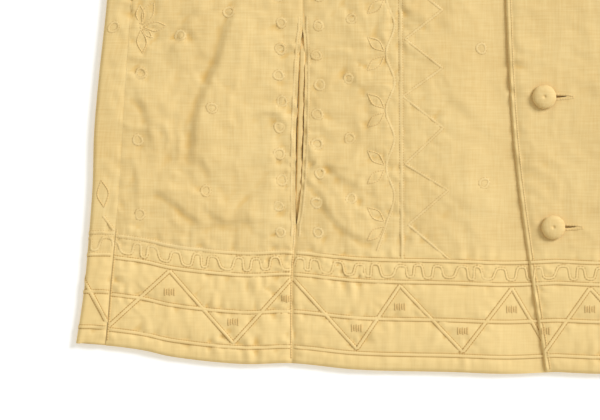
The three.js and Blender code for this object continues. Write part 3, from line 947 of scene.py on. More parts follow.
@dataclass(frozen=True)
class Ribbon:
    """Section of a worked line: pairs of place, as a share of its half width, and height in millimetres."""

    corded: tuple[tuple[float, float], ...] = (
        (-1.0, -0.5), (-0.84, 0.1), (-ROW, 0.1), (-0.36, 0.4), (0.0, 0.5), (0.36, 0.4), (ROW, 0.1),
        (0.84, 0.1), (1.0, -0.5),
    )
    bar: tuple[tuple[float, float], ...] = ((-1.0, -0.4), (-0.6, 0.25), (0.0, 0.42), (0.6, 0.25), (1.0, -0.4))
    fine: float = 0.5  # how high fine cords stand, as a share
    end: float = 0.25  # how high a line's ends stand
    above_band: float = 0.8  # how high lines stand above the hem band, where they are worked flatter

    def section(self, stitch: Stitch) -> Array:
        """The section of a stitch's ribbon."""
        return np.array(self.bar if stitch in MAP_SHIFT else self.corded)

    def heights(self, line: Line, ups: Array) -> Array:
        """How high the points of a line's sections stand, as (places, points of the section)."""
        low = self.section(line.stitch)[:, 1]
        share = np.full(len(ups), self.fine if line.stitch is Stitch.FINE else 1.0)
        if not line.closed:
            share[[0, -1]] *= self.end
        share *= mix(1.0, self.above_band, ease((ups - 92.0) / 8.0))
        return np.where(low < 0, low, low * share[:, None])


RIBBON = Ribbon()


def ribbons(name: str, lines: Sequence[Line], skin: FaceSkin | BackSkin) -> Object:
    """Worked lines as raised ribbons that lie on the cloth, joined in one mesh.

    Their texture map runs in stitches along a line and from -1 to 1 across it, with the rows of stitches at
    +-ROW. Ribbons reach a little below the cloth at their sides, so that they grow out of it.

    Args:
        name: Name of the piece.
        lines: The lines.
        skin: What they lie on.

    Returns:
        The object.
    """
    across, ups, lifts, maps, faces = [], [], [], [], []
    total = 0
    for line in lines:
        p = line.points
        if line.closed:  # the first section is repeated, so that the map has no jump
            way = np.roll(p, -1, axis=0) - np.roll(p, 1, axis=0)
            p, way = np.vstack([p, p[:1]]), np.vstack([way, way[:1]])
        else:
            way = np.gradient(p, axis=0)
        way = way / np.maximum(np.hypot(*way.T), 1e-9)[:, None]
        turned = np.column_stack([-way[:, 1], way[:, 0]])
        aside = RIBBON.section(line.stitch)[:, 0]
        count, wide = len(p), len(aside)
        section = p[:, None, :] + turned[:, None, :] * (aside * line.stitch.value / ROW)[None, :, None]
        across.append(section[:, :, 0].ravel())
        ups.append(section[:, :, 1].ravel())
        lifts.append(RIBBON.heights(line, p[:, 1]).ravel())
        maps.append(np.column_stack([
            np.repeat(lengths(p) / STITCH_LENGTH, wide),
            np.tile(aside + MAP_SHIFT.get(line.stitch, 0.0), count),
        ]))
        first = (total + np.arange(count - 1)[:, None] * wide + np.arange(wide - 1)[None, :]).ravel()
        faces.append(np.column_stack([first, first + wide, first + wide + 1, first + 1]))
        total += count * wide
    placed = skin.at(np.concatenate(across), np.concatenate(ups))
    points = to_frame(placed.points + placed.normals * np.concatenate(lifts)[:, None])
    return mesh_of(name, points, np.concatenate(faces), np.concatenate(maps))


def mesh_of(name: str, points: Array, faces: Array, maps: Array) -> Object:
    """An object from points in metres, quads and a texture map for each point, facing up or out."""
    mesh = bpy.data.meshes.new(name)
    mesh.vertices.add(len(points))
    mesh.vertices.foreach_set("co", points.ravel())
    mesh.loops.add(faces.size)
    mesh.loops.foreach_set("vertex_index", faces.ravel().astype(np.int32))
    mesh.polygons.add(len(faces))
    mesh.polygons.foreach_set("loop_start", np.arange(0, faces.size, faces.shape[1], dtype=np.int32))
    mesh.update(calc_edges=True)
    mesh.uv_layers.new(name="UVMap").data.foreach_set("uv", maps[faces.ravel()].ravel())
    mesh.validate()
    made = bpy.data.objects.new(name, mesh)
    bpy.context.scene.collection.objects.link(made)
    bpy.ops.object.select_all(action="DESELECT")
    made.select_set(True)
    bpy.context.view_layer.objects.active = made
    bpy.ops.object.shade_smooth()
    return made


# ---------- finishes ----------


def tint(code: str) -> tuple[float, float, float, float]:
    """The linear colour of an sRGB hex value."""
    parts = [int(code[i : i + 2], 16) / 255 for i in (0, 2, 4)]
    linear = [c / 12.92 if c <= 0.04045 else ((c + 0.055) / 1.055) ** 2.4 for c in parts]
    return (*linear, 1.0)


def add_node(
    tree: Tree, kind: str, links: Optional[dict[str | int, object]] = None, **settings: object
) -> bpy.types.Node:
    """Adds a node.

    Args:
        tree: The material's node tree.
        kind: The node's type name.
        links: For each input, a socket to link or a constant.
        **settings: The node's own properties.

    Returns:
        The new node.
    """
    node = tree.nodes.new(kind)
    for name, value in settings.items():
        setattr(node, name, value)
    for key, value in (links or {}).items():
        if isinstance(value, Socket):
            tree.links.new(value, node.inputs[key])
        else:
            node.inputs[key].default_value = value
    return node


def ranged(
    tree: Tree, value: Socket, places: tuple[float, float], values: tuple[float, float],
    kind: str = "LINEAR",
) -> Socket:
    """Runs from one value to another.

    Args:
        tree: The material's node tree.
        value: The socket that decides.
        places: Where that socket's value starts and ends the run.
        values: What is given there.
        kind: The run's interpolation.

    Returns:
        The socket of the result.
    """
    span = dict(zip(("From Min", "From Max", "To Min", "To Max"), (*places, *values)))
    return add_node(tree, "ShaderNodeMapRange", {"Value": value, **span}, interpolation_type=kind).outputs[0]


def blend_colour(tree: Tree, share: Socket, colour: Socket, code: str) -> Socket:
    """A colour, turned by a share to that of an sRGB hex value."""
    parts = {"Factor": share, 6: colour, 7: tint(code)}
    return add_node(tree, "ShaderNodeMix", parts, data_type="RGBA").outputs[2]


@dataclass(frozen=True)
class SlubCotton:
    """Hand-loomed slub cotton, soft from washing: matt, with thick and thin threads both ways and a faint
    bloom.

    The threads lie 0.6 mm apart, drawn about 1.1 mm apart so that the weave shows. Its colour also holds
    painted shade, in a sheet's hollows and along the grooves of stitched lines, and painted light: paler on
    the hem band.
    """

    name: str = "slub_cotton_mustard"
    base: str = "E9CC8E"
    pale: str = "F0D8A0"
    deep: str = "DDBB7A"
    hollow: str = "D9AE5E"  # painted shade: a deeper, more saturated ochre in the creases and hollows, where shade falls
    painted_band_light: str = "F4D592"  # painted light: the hem band is paler, standing in for the brighter light on the jacket's lower part
    crease_shade_depth: tuple[float, float] = (0.25, 1.6)  # how deep a hollow is where the painted shade starts, and where it is full
    painted_band_light_share: float = 0.38
    thread: str = "A67322"
    band_top: float = 79.0  # above this height the thread matches the cloth more closely
    quiet: float = 0.42
    thread_gap: float = 1.1
    slub_long: float = 17.0
    relief: float = 0.09
    from_map: bool = True
    stitched: bool = False

    def make(self) -> bpy.types.Material:
        """Builds the material."""
        material = bpy.data.materials.new(self.name)
        material.use_nodes = True
        tree = material.node_tree
        shader = tree.nodes["Principled BSDF"]
        shader.inputs["Roughness"].default_value = 0.9
        shader.inputs["Specular IOR Level"].default_value = 0.22
        shader.inputs["Sheen Weight"].default_value = 0.18
        shader.inputs["Sheen Roughness"].default_value = 0.45
        place = add_node(tree, "ShaderNodeTexCoord").outputs["UV" if self.from_map else "Object"]
        warp, weft = self.threads(tree, place)
        weave = add_node(tree, "ShaderNodeMath", {0: warp, 1: weft}, operation="ADD").outputs[0]
        cloud = self.noise(tree, place, (0.045, 0.045), 3.0)
        mixed = {"Factor": 0.35, 2: weave, 3: cloud}
        tone = add_node(tree, "ShaderNodeMix", mixed, data_type="FLOAT").outputs[0]
        ramp = add_node(tree, "ShaderNodeValToRGB", {"Fac": tone})
        stops = ramp.color_ramp.elements
        stops[0].position, stops[0].color = 0.3, tint(self.deep)
        stops[1].position, stops[1].color = 0.95, tint(self.pale)
        middle = stops.new(0.6)
        middle.color = tint(self.base)
        colour, height = ramp.outputs["Color"], weave
        # painted light: below the hem band's top the colour turns paler, for the brighter light on the
        # jacket's lower part
        band_end = (self.band_line, self.band_line + 4 * MM)
        band_light_mix = ranged(tree, self.height_up(tree), band_end, (self.painted_band_light_share, 0.0))
        colour = blend_colour(tree, band_light_mix, colour, self.painted_band_light)
        # painted shade: the colour turns to a deeper, more saturated ochre in a sheet's hollows and creases
        if self.from_map:
            hollow = add_node(tree, "ShaderNodeAttribute", attribute_name="hollow").outputs["Fac"]
            colour = blend_colour(tree, ranged(tree, hollow, self.crease_shade_depth, (0.0, 1.0)), colour, self.hollow)
        if self.stitched:
            colour, height = self.stitches(tree, colour, weave)
        tree.links.new(colour, shader.inputs["Base Color"])
        raised = {"Height": height, "Strength": 0.8, "Distance": self.relief * MM}
        bump = add_node(tree, "ShaderNodeBump", raised)
        tree.links.new(bump.outputs["Normal"], shader.inputs["Normal"])
        return material

    @property
    def band_line(self) -> float:
        """Where the hem band ends, in metres in the shared frame."""
        return (self.band_top + HEM_Y) * MM

    def height_up(self, tree: Tree) -> Socket:
        """How far up the jacket a point lies, in metres in the shared frame."""
        place = add_node(tree, "ShaderNodeTexCoord").outputs["Object"]
        return add_node(tree, "ShaderNodeSeparateXYZ", {0: place}).outputs[1]

    def noise(self, tree: Tree, place: Socket, grain: tuple[float, float], detail: float) -> Socket:
        """Noise whose grain has the given size in metres along each way of the cloth."""
        scale = (1.0 / grain[0], 1.0 / grain[1], 1.0 / grain[0])
        moved = add_node(tree, "ShaderNodeMapping", {"Vector": place, "Scale": scale}, vector_type="POINT")
        settings = {"Vector": moved.outputs[0], "Scale": 1.0, "Detail": detail}
        return add_node(tree, "ShaderNodeTexNoise", settings).outputs["Fac"]

    def threads(self, tree: Tree, place: Socket) -> tuple[Socket, Socket]:
        """The slubs of warp and weft, each half of a height from 0 to 1."""
        fine, long = self.thread_gap * MM, self.slub_long * MM
        made = []
        for grain in ((fine, long), (long, fine)):
            streak = self.noise(tree, place, grain, 1.0)
            halved = add_node(tree, "ShaderNodeMath", {0: streak, 1: 0.5}, operation="MULTIPLY")
            made.append(halved.outputs[0])
        return made[0], made[1]

    def stitches(self, tree: Tree, cloth: Socket, weave: Socket) -> tuple[Socket, Socket]:
        """Lays the stitches over the cloth: rows of short dashes, or a satin bar's threads side by side, with
        a little painted shade along the rows' grooves.
        """
        maps = add_node(tree, "ShaderNodeTexCoord").outputs["UV"]
        split = add_node(tree, "ShaderNodeSeparateXYZ", {0: maps})
        along, across = split.outputs[0], split.outputs[1]

        def reach(value: Socket, middle: float, full: float, none: float) -> Socket:
            """1 where the value is within full of the middle, falling to 0 at none."""
            off = joined(joined(value, middle, "SUBTRACT"), 0.0, "ABSOLUTE")
            return ranged(tree, off, (full, none), (1.0, 0.0), "SMOOTHSTEP")

        def joined(a: object, b: object, operation: str) -> Socket:
            """One value from two, or from the first alone."""
            return add_node(tree, "ShaderNodeMath", {0: a, 1: b}, operation=operation).outputs[0]

        size = joined(across, 0.0, "ABSOLUTE")
        row = reach(size, ROW, 0.08, 0.26)
        plain = joined(reach(across, MAP_SHIFT[Stitch.PLAIN], 0.45, 0.9), 0.65, "MULTIPLY")
        satin = reach(across, MAP_SHIFT[Stitch.SATIN], 0.8, 1.1)
        part = joined(along, 0.0, "FRACT")
        dash = reach(part, 0.5, 0.2, 0.4)
        dashes = joined(joined(row, plain, "MAXIMUM"), dash, "MULTIPLY")
        groove = joined(row, plain, "MAXIMUM")
        # painted shade: groove darkens each row line a little along its whole length, for the shade down in
        # the stitched groove; dashes and satin bars take the thread's own colour
        dark = joined(joined(dashes, 0.8, "MULTIPLY"), joined(groove, 0.1, "MULTIPLY"), "ADD")
        thread_and_groove_shade = joined(dark, joined(satin, 0.3, "MULTIPLY"), "MAXIMUM")
        band_end = (self.band_line, self.band_line + MM)
        thread_and_groove_shade = joined(thread_and_groove_shade, ranged(tree, self.height_up(tree), band_end, (1.0, self.quiet)), "MULTIPLY")
        colour = blend_colour(tree, thread_and_groove_shade, cloth, self.thread)
        strand = joined(joined(along, 6.0, "MULTIPLY"), 0.0, "SINE")
        low = joined(joined(groove, 0.9, "MULTIPLY"), joined(dashes, -0.6, "MULTIPLY"), "ADD")
        high = joined(joined(strand, satin, "MULTIPLY"), 0.5, "MULTIPLY")
        height = joined(joined(weave, low, "SUBTRACT"), high, "ADD")
        return colour, height


@dataclass(frozen=True)
class StudioFloor:
    """Smooth white paper sweep: matt, with no visible grain beyond a trace of mottling."""

    name: str = "white_paper_sweep"
    colour: str = "FAFAFA"
    lit: float = 0.25  # a sweep lit a little from behind, which softens shadows

    def make(self) -> bpy.types.Material:
        """Builds the material."""
        material = bpy.data.materials.new(self.name)
        material.use_nodes = True
        tree = material.node_tree
        shader = tree.nodes["Principled BSDF"]
        shader.inputs["Roughness"].default_value = 0.95
        shader.inputs["Specular IOR Level"].default_value = 0.1
        shader.inputs["Base Color"].default_value = tint(self.colour)
        shader.inputs["Emission Color"].default_value = tint(self.colour)
        shader.inputs["Emission Strength"].default_value = self.lit
        place = add_node(tree, "ShaderNodeTexCoord").outputs["Object"]
        grain = add_node(tree, "ShaderNodeTexNoise", {"Vector": place, "Scale": 900.0, "Detail": 2.0})
        raised = {"Height": grain.outputs["Fac"], "Strength": 0.1, "Distance": 0.1 * MM}
        bump = add_node(tree, "ShaderNodeBump", raised)
        tree.links.new(bump.outputs["Normal"], shader.inputs["Normal"])
        return material


# ---------- the jacket's pieces ----------


@dataclass(frozen=True)
class Finishes:
    """The materials that the pieces are dressed in."""

    cloth: bpy.types.Material
    worked: bpy.types.Material
    pocket: bpy.types.Material
    button: bpy.types.Material


def dress(
    piece: Object, material: bpy.types.Material, nodes: Sequence[str] = ()
) -> Object:
    """Gives a piece its finish and its place in the frame.

    Args:
        piece: The finished object.
        material: Its finish.
        nodes: The construction solids that it stands for.

    Returns:
        The same object.
    """
    piece.data.materials.clear()
    piece.data.materials.append(material)
    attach(piece, "root")
    if nodes:
        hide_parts(*nodes)
    LOG.info("%s: %d faces", piece.name, len(piece.data.polygons))
    return piece


def embroider(name: str, lines: Sequence[Line], skin: FaceSkin | BackSkin, finishes: Finishes) -> Object:
    """Works lines on a piece and dresses them, as an object of their own named after the piece."""
    return dress(ribbons(f"{name}_embroidery", lines, skin), finishes.worked)


@dataclass
class FacePiece:
    """A piece of the upper face, cut in a grid that is finer up to some height."""

    side: Side
    face: Face
    fine: float = 1.45
    coarse: float = 4.2
    fine_up: float = 258.0

    def turned(self, across: Array, up: Array) -> tuple[Array, Array]:
        """A cut that is drawn as on the wearer's right, on the piece's own side."""
        if self.side is Side.RIGHT:
            return across, up
        return -across[:, ::-1], up[:, ::-1].copy()

    def laid(self, name: str, across: Array, up: Array) -> Sheet:
        """The cut, laid on the face."""
        z = self.face.height(across.ravel(), up.ravel(), self.side).reshape(across.shape)
        return Sheet(f"{name}_cloth", across, up, np.dstack([across, up, z]))


@dataclass
class Front(FacePiece):
    """One front, from the panel seam to its own edge, with its embroidery."""

    slit_start: float = 5.5  # the buttonholes' slits, from their button's middle
    slit_end: float = 16.6
    slit_half: float = 1.0
    near: float = 0.45  # how near to a button's height a point belongs to its slit
    free_columns: float = 62.0  # the strip at the left front's edge that has the fine grid

    def own_edge(self, up: Array) -> Array:
        """How far past the centre the front reaches, towards the other side."""
        return CUT.edge.at(up) if self.side is Side.LEFT else np.full(np.shape(up), CUT.underlap)

    def plan(self) -> tuple[Array, Array]:
        """The cut's grid, places across (as on the wearer's right) and heights."""
        tip_up = CUT.armhole[-1][1]
        v = spaced((self.fine_up, self.fine), (tip_up, self.coarse)) / tip_up
        seam_low = float(CUT.hem_up(CUT.panel.at(0.0)))
        ups = mix(seam_low, tip_up, v)
        corner_up = CUT.armhole[CUT.panel_corner][1]
        seam = CUT.panel.at(ups) - CUT.mouth(ups) - CUT.seam_gap / 2
        arm = CUT.arm_out(ups) - CUT.seam_gap
        left = np.column_stack([-np.where(ups < corner_up, seam, arm), ups])
        edge_low = float(CUT.hem_up(self.own_edge(np.array(0.0))))
        edge_top = float(CUT.neckline(CUT.front_neck, self.own_edge(np.array(CUT.front_neck))))
        edge_ups = mix(edge_low, edge_top, v)
        right = np.column_stack([self.own_edge(edge_ups), edge_ups])
        wide = right[0, 0] - left[0, 0]
        if self.side is Side.RIGHT:
            u = spaced((wide, self.fine)) / wide
        else:
            u = spaced((wide - self.free_columns, self.coarse - 0.6), (wide, self.fine)) / wide
        bottom_x = mix(left[0, 0], right[0, 0], u)
        top_x = mix(left[-1, 0], right[-1, 0], u)
        bottom = np.column_stack([bottom_x, CUT.hem_up(bottom_x)])
        top = np.column_stack([top_x, CUT.top_up(CUT.front_neck, top_x)])
        return blended(u, v, (left, right), (bottom, top), (0.3, 0.5))

    def seam(self, up: Array) -> Array:
        """x of the panel seam, or of the armhole above it, a little within the piece."""
        seam = CUT.panel.at(up) - CUT.mouth(up)
        out = np.where(up < CUT.armhole[CUT.panel_corner][1], seam, CUT.arm_out(up))
        return self.side.value * (out - 0.3)

    def free_edge(self, up: Array) -> Array:
        """x of the left front's edge, a little within it, or of the line where it hides the right one."""
        if self.side is Side.LEFT:
            return 1.0 - CUT.edge.at(up)
        return 4.0 - CUT.edge.at(up)

    def build(self, finishes: Finishes, lines: Sequence[Line]) -> None:
        """Makes the front and its embroidery.

        Args:
            finishes: The materials.
            lines: The worked lines of this side, in the jacket's own x.
        """
        name = f"front_{self.side.word}"
        across, up = self.turned(*self.plan())
        if self.side is Side.RIGHT:
            sheet = self.laid(name, across, up)
            cloth = sheet.build(CUT.cloth)
            low, high = self.seam, self.free_edge
        else:
            self.align_rows(across, up)
            sheet = self.laid(name, across, up)
            cloth = self.with_buttonholes(sheet)
            low, high = self.free_edge, self.seam
        dress(cloth, finishes.cloth, [name])
        worked = embroider(name, clipped(lines, low, high), FaceSkin(self.face, self.side), finishes)
        outline = sheet.outline()

    def align_rows(self, across: Array, up: Array) -> None:
        """Moves the grid's rows a little, so that one runs through each button's middle."""
        for button_up in CUT.button_ups:
            column = int(np.argmin(np.abs(across[0] + 2.0)))
            j = int(np.argmin(np.abs(up[:, column] - button_up)))
            shift = button_up - up[j, column]
            up += shift * swell(up - button_up, 16.0)

    def with_buttonholes(self, sheet: Sheet) -> Object:
        """Builds the sheet with a slit from each button's middle outward, before the cloth gets its wall."""
        cloth = sheet.build(0.0)
        mesh = bmesh.new()
        mesh.from_mesh(cloth.data)
        start, end = self.slit_start, self.slit_end
        middles = [(-float(CUT.buttons.at(up)), up) for up in CUT.button_ups]
        cut = []
        for edge in mesh.edges:
            a, b = (self.place(vert) for vert in edge.verts)
            if abs(a[1] - b[1]) > 0.4:  # this edge doesn't run along a row
                continue
            for x, up in middles:
                inside = min(a[0], b[0]) > x + start and max(a[0], b[0]) < x + end
                if inside and abs((a[1] + b[1]) / 2 - up) < self.near:
                    cut.append(edge)
        bmesh.ops.split_edges(mesh, edges=cut)
        for vert in mesh.verts:
            if not vert.is_boundary or len(vert.link_faces) != 2:
                continue
            place = self.place(vert)
            for x, up in middles:
                share = (place[0] - x - start) / (end - start)
                if abs(place[1] - up) < self.near and -0.05 < share < 1.05:
                    middle = np.mean([face.calc_center_median()[1] for face in vert.link_faces]) / MM - HEM_Y
                    way = 1.0 if middle > place[1] else -1.0
                    vert.co.y += way * self.slit_half * (1.0 - 0.85 * share) * MM
        mesh.to_mesh(cloth.data)
        mesh.free()
        Sheet.thicken(cloth, CUT.cloth)
        return cloth

    @staticmethod
    def place(vert: bmesh.types.BMVert) -> Array:
        """A point's place in the jacket's millimetres."""
        return np.array(vert.co) / MM - (0.0, HEM_Y, 0.0)


@dataclass
class SideFront(FacePiece):
    """The panel between side seam and panel seam, with its embroidery."""

    def plan(self) -> tuple[Array, Array]:
        """The cut's grid, places across (as on the wearer's right) and heights."""
        under_up = CUT.armhole[0][1] - 3 * CUT.seam_gap
        top_up = CUT.armhole[CUT.panel_corner][1]
        side_low, panel_low = (float(CUT.hem_up(seam)) for seam in (CUT.side_seam(0.0), CUT.panel.at(0.0)))
        fine = self.fine if self.side is Side.RIGHT else 2.6
        v = spaced((self.fine_up, fine), (top_up, self.coarse)) / top_up
        ups = mix(side_low, under_up, v)
        left = np.column_stack([-(CUT.side_seam(ups) - CUT.seam_gap / 2), ups])
        seam_ups = mix(panel_low, top_up, v)
        panel = CUT.panel.at(seam_ups) + CUT.mouth(seam_ups) + CUT.seam_gap / 2
        right = np.column_stack([-panel, seam_ups])
        wide = right[0, 0] - left[0, 0]
        u = spaced((wide, fine)) / wide
        bottom_x = mix(left[0, 0], right[0, 0], u)
        top = CUT.arm_line(u * CUT.panel_corner / (len(CUT.armhole) - 1)) * np.array([-1.0, 1.0])
        top[0], top[-1] = left[-1], right[-1]
        bottom = np.column_stack([bottom_x, CUT.hem_up(bottom_x)])
        return blended(u, v, (left, right), (bottom, top), (0.3, 0.5))

    def outer(self, up: Array) -> Array:
        """x of the side seam, a little within the piece."""
        return self.side.value * (CUT.side_seam(up) - 0.2)

    def inner(self, up: Array) -> Array:
        """x of the panel seam, a little within the piece."""
        return self.side.value * (CUT.panel.at(up) + CUT.mouth(up) + 0.3)

    def build(self, finishes: Finishes, lines: Sequence[Line]) -> None:
        """Makes the panel and its embroidery from the side's worked lines."""
        name = f"side_front_{self.side.word}"
        sheet = self.laid(name, *self.turned(*self.plan()))
        cloth = sheet.build(CUT.cloth)
        dress(cloth, finishes.cloth, [name])
        low, high = (self.outer, self.inner) if self.side is Side.RIGHT else (self.inner, self.outer)
        worked = embroider(name, clipped(lines, low, high), FaceSkin(self.face, self.side), finishes)
        outline = sheet.outline()


@dataclass
class Back:
    """The back, cut whole, which folds round both sides on to the front."""

    face: Face
    fine: float = 1.8
    middling: float = 3.6  # from fine_up to the underarm
    coarse: float = 5.4
    fine_up: float = 262.0
    columns: int = 96  # between the folds
    strip: tuple[float, ...] = (0.1, 0.2, 0.3, 0.4, 0.5, 0.6, 0.7, 0.8, 0.88, 0.94, 0.98, 1.0)

    def grid(self) -> tuple[Array, Array, int, int]:
        """The cut's grid.

        Returns:
            Places s and heights, the number of columns beyond each fold and the row of the underarm.
        """
        tip_up = CUT.armhole[-1][1]
        under_up = CUT.armhole[0][1]
        v = spaced((self.fine_up, self.fine), (under_up, self.middling), (tip_up, self.coarse)) / tip_up
        under_row = int(np.argmin(np.abs(v * tip_up - under_up)))
        fold_x = float(CUT.fold.at(0.0)) - CUT.roll
        ups = mix(float(CUT.hem_up(fold_x)), tip_up, v)
        ups[under_row] = under_up
        flat, end, seam = BackSkin.stops(ups)
        half = np.where(ups <= under_up, flat, np.minimum(flat, CUT.arm_out(ups) - CUT.seam_gap))
        left = np.column_stack([-half, ups])
        u = np.linspace(0.0, 1.0, self.columns)
        bottom_x = mix(-half[0], half[0], u)
        top_x = mix(-half[-1], half[-1], u)
        bottom = np.column_stack([bottom_x, CUT.hem_up(bottom_x)])
        top = np.column_stack([top_x, CUT.top_up(CUT.back_neck, top_x)])
        s, up = blended(u, v, (left, left * np.array([-1.0, 1.0])), (bottom, top), (0.3, 0.6))
        turn = np.linspace(0.0, 1.0, 11)[1:]
        strip = np.array(self.strip)
        beyond = np.column_stack([
            mix(flat[:, None], end[:, None], turn[None, :]), mix(end[:, None], seam[:, None], strip[None, :]),
        ])
        low = BackSkin(self.face).at(beyond[0], np.zeros(beyond.shape[1])).points
        hem_bow = CUT.hem_up(low[:, 0]) - ups[0]
        beyond_up = ups[:, None] + hem_bow[None, :] * (1.0 - ease(v / 0.1))[:, None]
        s = np.column_stack([-beyond[:, ::-1], s, beyond])
        up = np.column_stack([beyond_up[:, ::-1], up, beyond_up])
        return s, up, beyond.shape[1], under_row

    def build(self, finishes: Finishes, lines: Sequence[Line]) -> None:
        """Makes the back and its embroidery from lines on its own cut."""
        s, up, beyond, under_row = self.grid()
        skin = BackSkin(self.face)
        points = skin.at(s.ravel(), up.ravel()).points.reshape(*s.shape, 3)
        cloth = Sheet("back_cloth", s, up, points).build(0.0)
        last = -1 - beyond  # the column at which the piece ends above the underarm
        mesh = bmesh.new()
        mesh.from_mesh(cloth.data)
        spare = []
        layer = mesh.loops.layers.uv.active
        for face in mesh.faces:
            middle = np.mean([np.array(loop[layer].uv) for loop in face.loops], axis=0) / MM
            column = float(np.interp(middle[1], up[:, 0], s[:, last]))
            if middle[1] > up[under_row, 0] and abs(middle[0]) > column + 0.02:
                spare.append(face)
        bmesh.ops.delete(mesh, geom=spare, context="FACES")
        mesh.to_mesh(cloth.data)
        mesh.free()
        Sheet.thicken(cloth, CUT.cloth)
        dress(cloth, finishes.cloth, ["back"])
        worked = embroider("back", lines, skin, finishes)


@dataclass
class Sleeve:
    """One plain sleeve, a flat tube from the armhole to the cuff."""

    side: Side
    face: Face
    length: float = 600.0
    cuff: float = 125.0
    angle: float = 48.0  # of the sleeve, from straight down
    cap: float = 9.0
    cuff_stitch: float = 22.0  # how far from the cuff's end its stitching runs
    step: float = 4.2
    columns: int = 44
    map_width: float = 190.0  # width of one layer in the texture map
    creases: tuple[Crease, ...] = (
        Crease(((-300, 470), (-330, 474), (-372, 452), (-410, 420)), 2.2, 8.0, 20.0),
        Crease(((-296, 505), (-336, 520), (-380, 500), (-420, 470)), 1.9, 8.0, 22.0),
        Crease(((-262, 560), (-300, 560), (-340, 540)), 1.6, 7.0, 20.0),
        Crease(((-430, 395), (-470, 400), (-508, 380)), 1.7, 7.0, 18.0),
        Crease(((-462, 440), (-496, 432), (-530, 402)), 1.5, 7.0, 18.0),
        Crease(((-560, 300), (-590, 312), (-622, 300)), 1.3, 6.0, 15.0),
        Crease(((-580, 340), (-606, 330), (-628, 306)), 1.2, 6.0, 15.0),
        Crease(((-380, 560), (-420, 520), (-450, 500)), 1.4, 7.0, 20.0),
    )

    def ring_line(self, w: Array, along: Array) -> Array:
        """Points on the sleeve's middle plane, for shares w across and along, as on the wearer's right."""
        cos, sin = math.cos(math.radians(self.angle)), math.sin(math.radians(self.angle))
        tip = np.array([-CUT.armhole[-1][0], CUT.armhole[-1][1]])
        cuff_top = tip + self.length * np.array([-sin, -cos])
        cuff_end = cuff_top + self.cuff * np.array([cos, -sin])
        arm = CUT.arm_line(1.0 - w) * np.array([-1.0, 1.0]) + np.array([-0.1, -0.1])
        cuff = mix(cuff_top[None, :], cuff_end[None, :], w[:, None])
        lift = self.cap * (1.0 - w) * np.sin(math.pi * along) ** 2
        return mix(arm, cuff, along[:, None]) + lift[:, None] * np.array([-cos, sin])

    def height(self, place: Array, angle: Array, inner: Array, from_seam: Array) -> Array:
        """Height of the sleeve's face.

        Args:
            place: Points x, up, as on the wearer's right.
            angle: Turn round the tube: 0 on top, pi below.
            inner: Distances from the nearer fold.
            from_seam: Distances from the armhole, along the sleeve.

        Returns:
            Heights above the surface.
        """
        x, up = place.T
        on_top, below = angle < 1e-6, np.abs(angle - math.pi) < 1e-6
        to_cuff = self.length - from_seam
        relief = self.face.rumples(x + 500.0 * (self.side is Side.LEFT), up)
        for crease in self.creases:
            relief = relief + crease.height(x, up)
        relief = relief * ease(inner / 10.0) * ease(from_seam / 8.0) * ease(to_cuff / 10.0)
        sunk = 0.8 * swell(from_seam, 1.8) + 0.45 * swell(to_cuff - self.cuff_stitch, 1.4)
        sunk = sunk + 0.9 * (1.0 - ease(to_cuff / 1.8)) ** 2
        z = CUT.under + CUT.roll + CUT.roll * np.cos(angle)
        z = np.where(on_top, z + relief - sunk * ease(inner / 4.0), z)
        return np.where(below, z + 0.25 * (1.0 + self.face.small.at(x, up)) * ease(inner / 10.0), z)

    def build(self, finishes: Finishes) -> None:
        """Makes the sleeve."""
        share = np.linspace(0.0, 1.0, self.columns)
        flat = np.zeros(self.columns)
        turn = np.linspace(0.0, math.pi, 11)[1:-1]
        w = np.concatenate([share, np.ones(len(turn)), share[::-1], np.zeros(len(turn)), [0.0]])
        angle = np.concatenate([flat, turn, flat + math.pi, math.pi + turn, [2 * math.pi]])
        v = spaced((self.length, self.step)) / self.length
        shape = rows, count = len(v), len(w)
        ww, aa, vv = np.tile(w, rows), np.tile(angle, rows), np.repeat(v, count)
        start, stop = self.ring_line(np.zeros(rows), v), self.ring_line(np.ones(rows), v)
        wide = np.hypot(*(stop - start).T)
        way = np.repeat((stop - start) / wide[:, None], count, axis=0)
        shift = CUT.roll * np.sin(aa) - (ww - 0.5) * 2 * CUT.roll
        place = self.ring_line(ww, vv) + way * shift[:, None]
        inner = np.minimum(ww, 1.0 - ww) * np.repeat(wide, count)
        from_seam = vv * self.length
        z = self.height(place, aa, inner, from_seam)
        steps = np.hypot(np.diff(w) * self.map_width, np.diff(angle) * CUT.roll)
        around = np.tile(np.concatenate([[0.0], np.cumsum(steps)]), (rows, 1))
        mirror = -float(self.side.value)
        points = np.dstack([part.reshape(shape) for part in (mirror * place[:, 0], place[:, 1], z)])
        sheet = Sheet(f"sleeve_{self.side.word}_cloth", around, from_seam.reshape(shape), points)
        cloth = sheet.build(CUT.cloth, joined=True, facing_out=self.side is Side.LEFT)
        dress(cloth, finishes.cloth, [f"sleeve_{self.side.word}"])
        back_to_start = self.ring_line(share[::-1], np.zeros(len(share)))


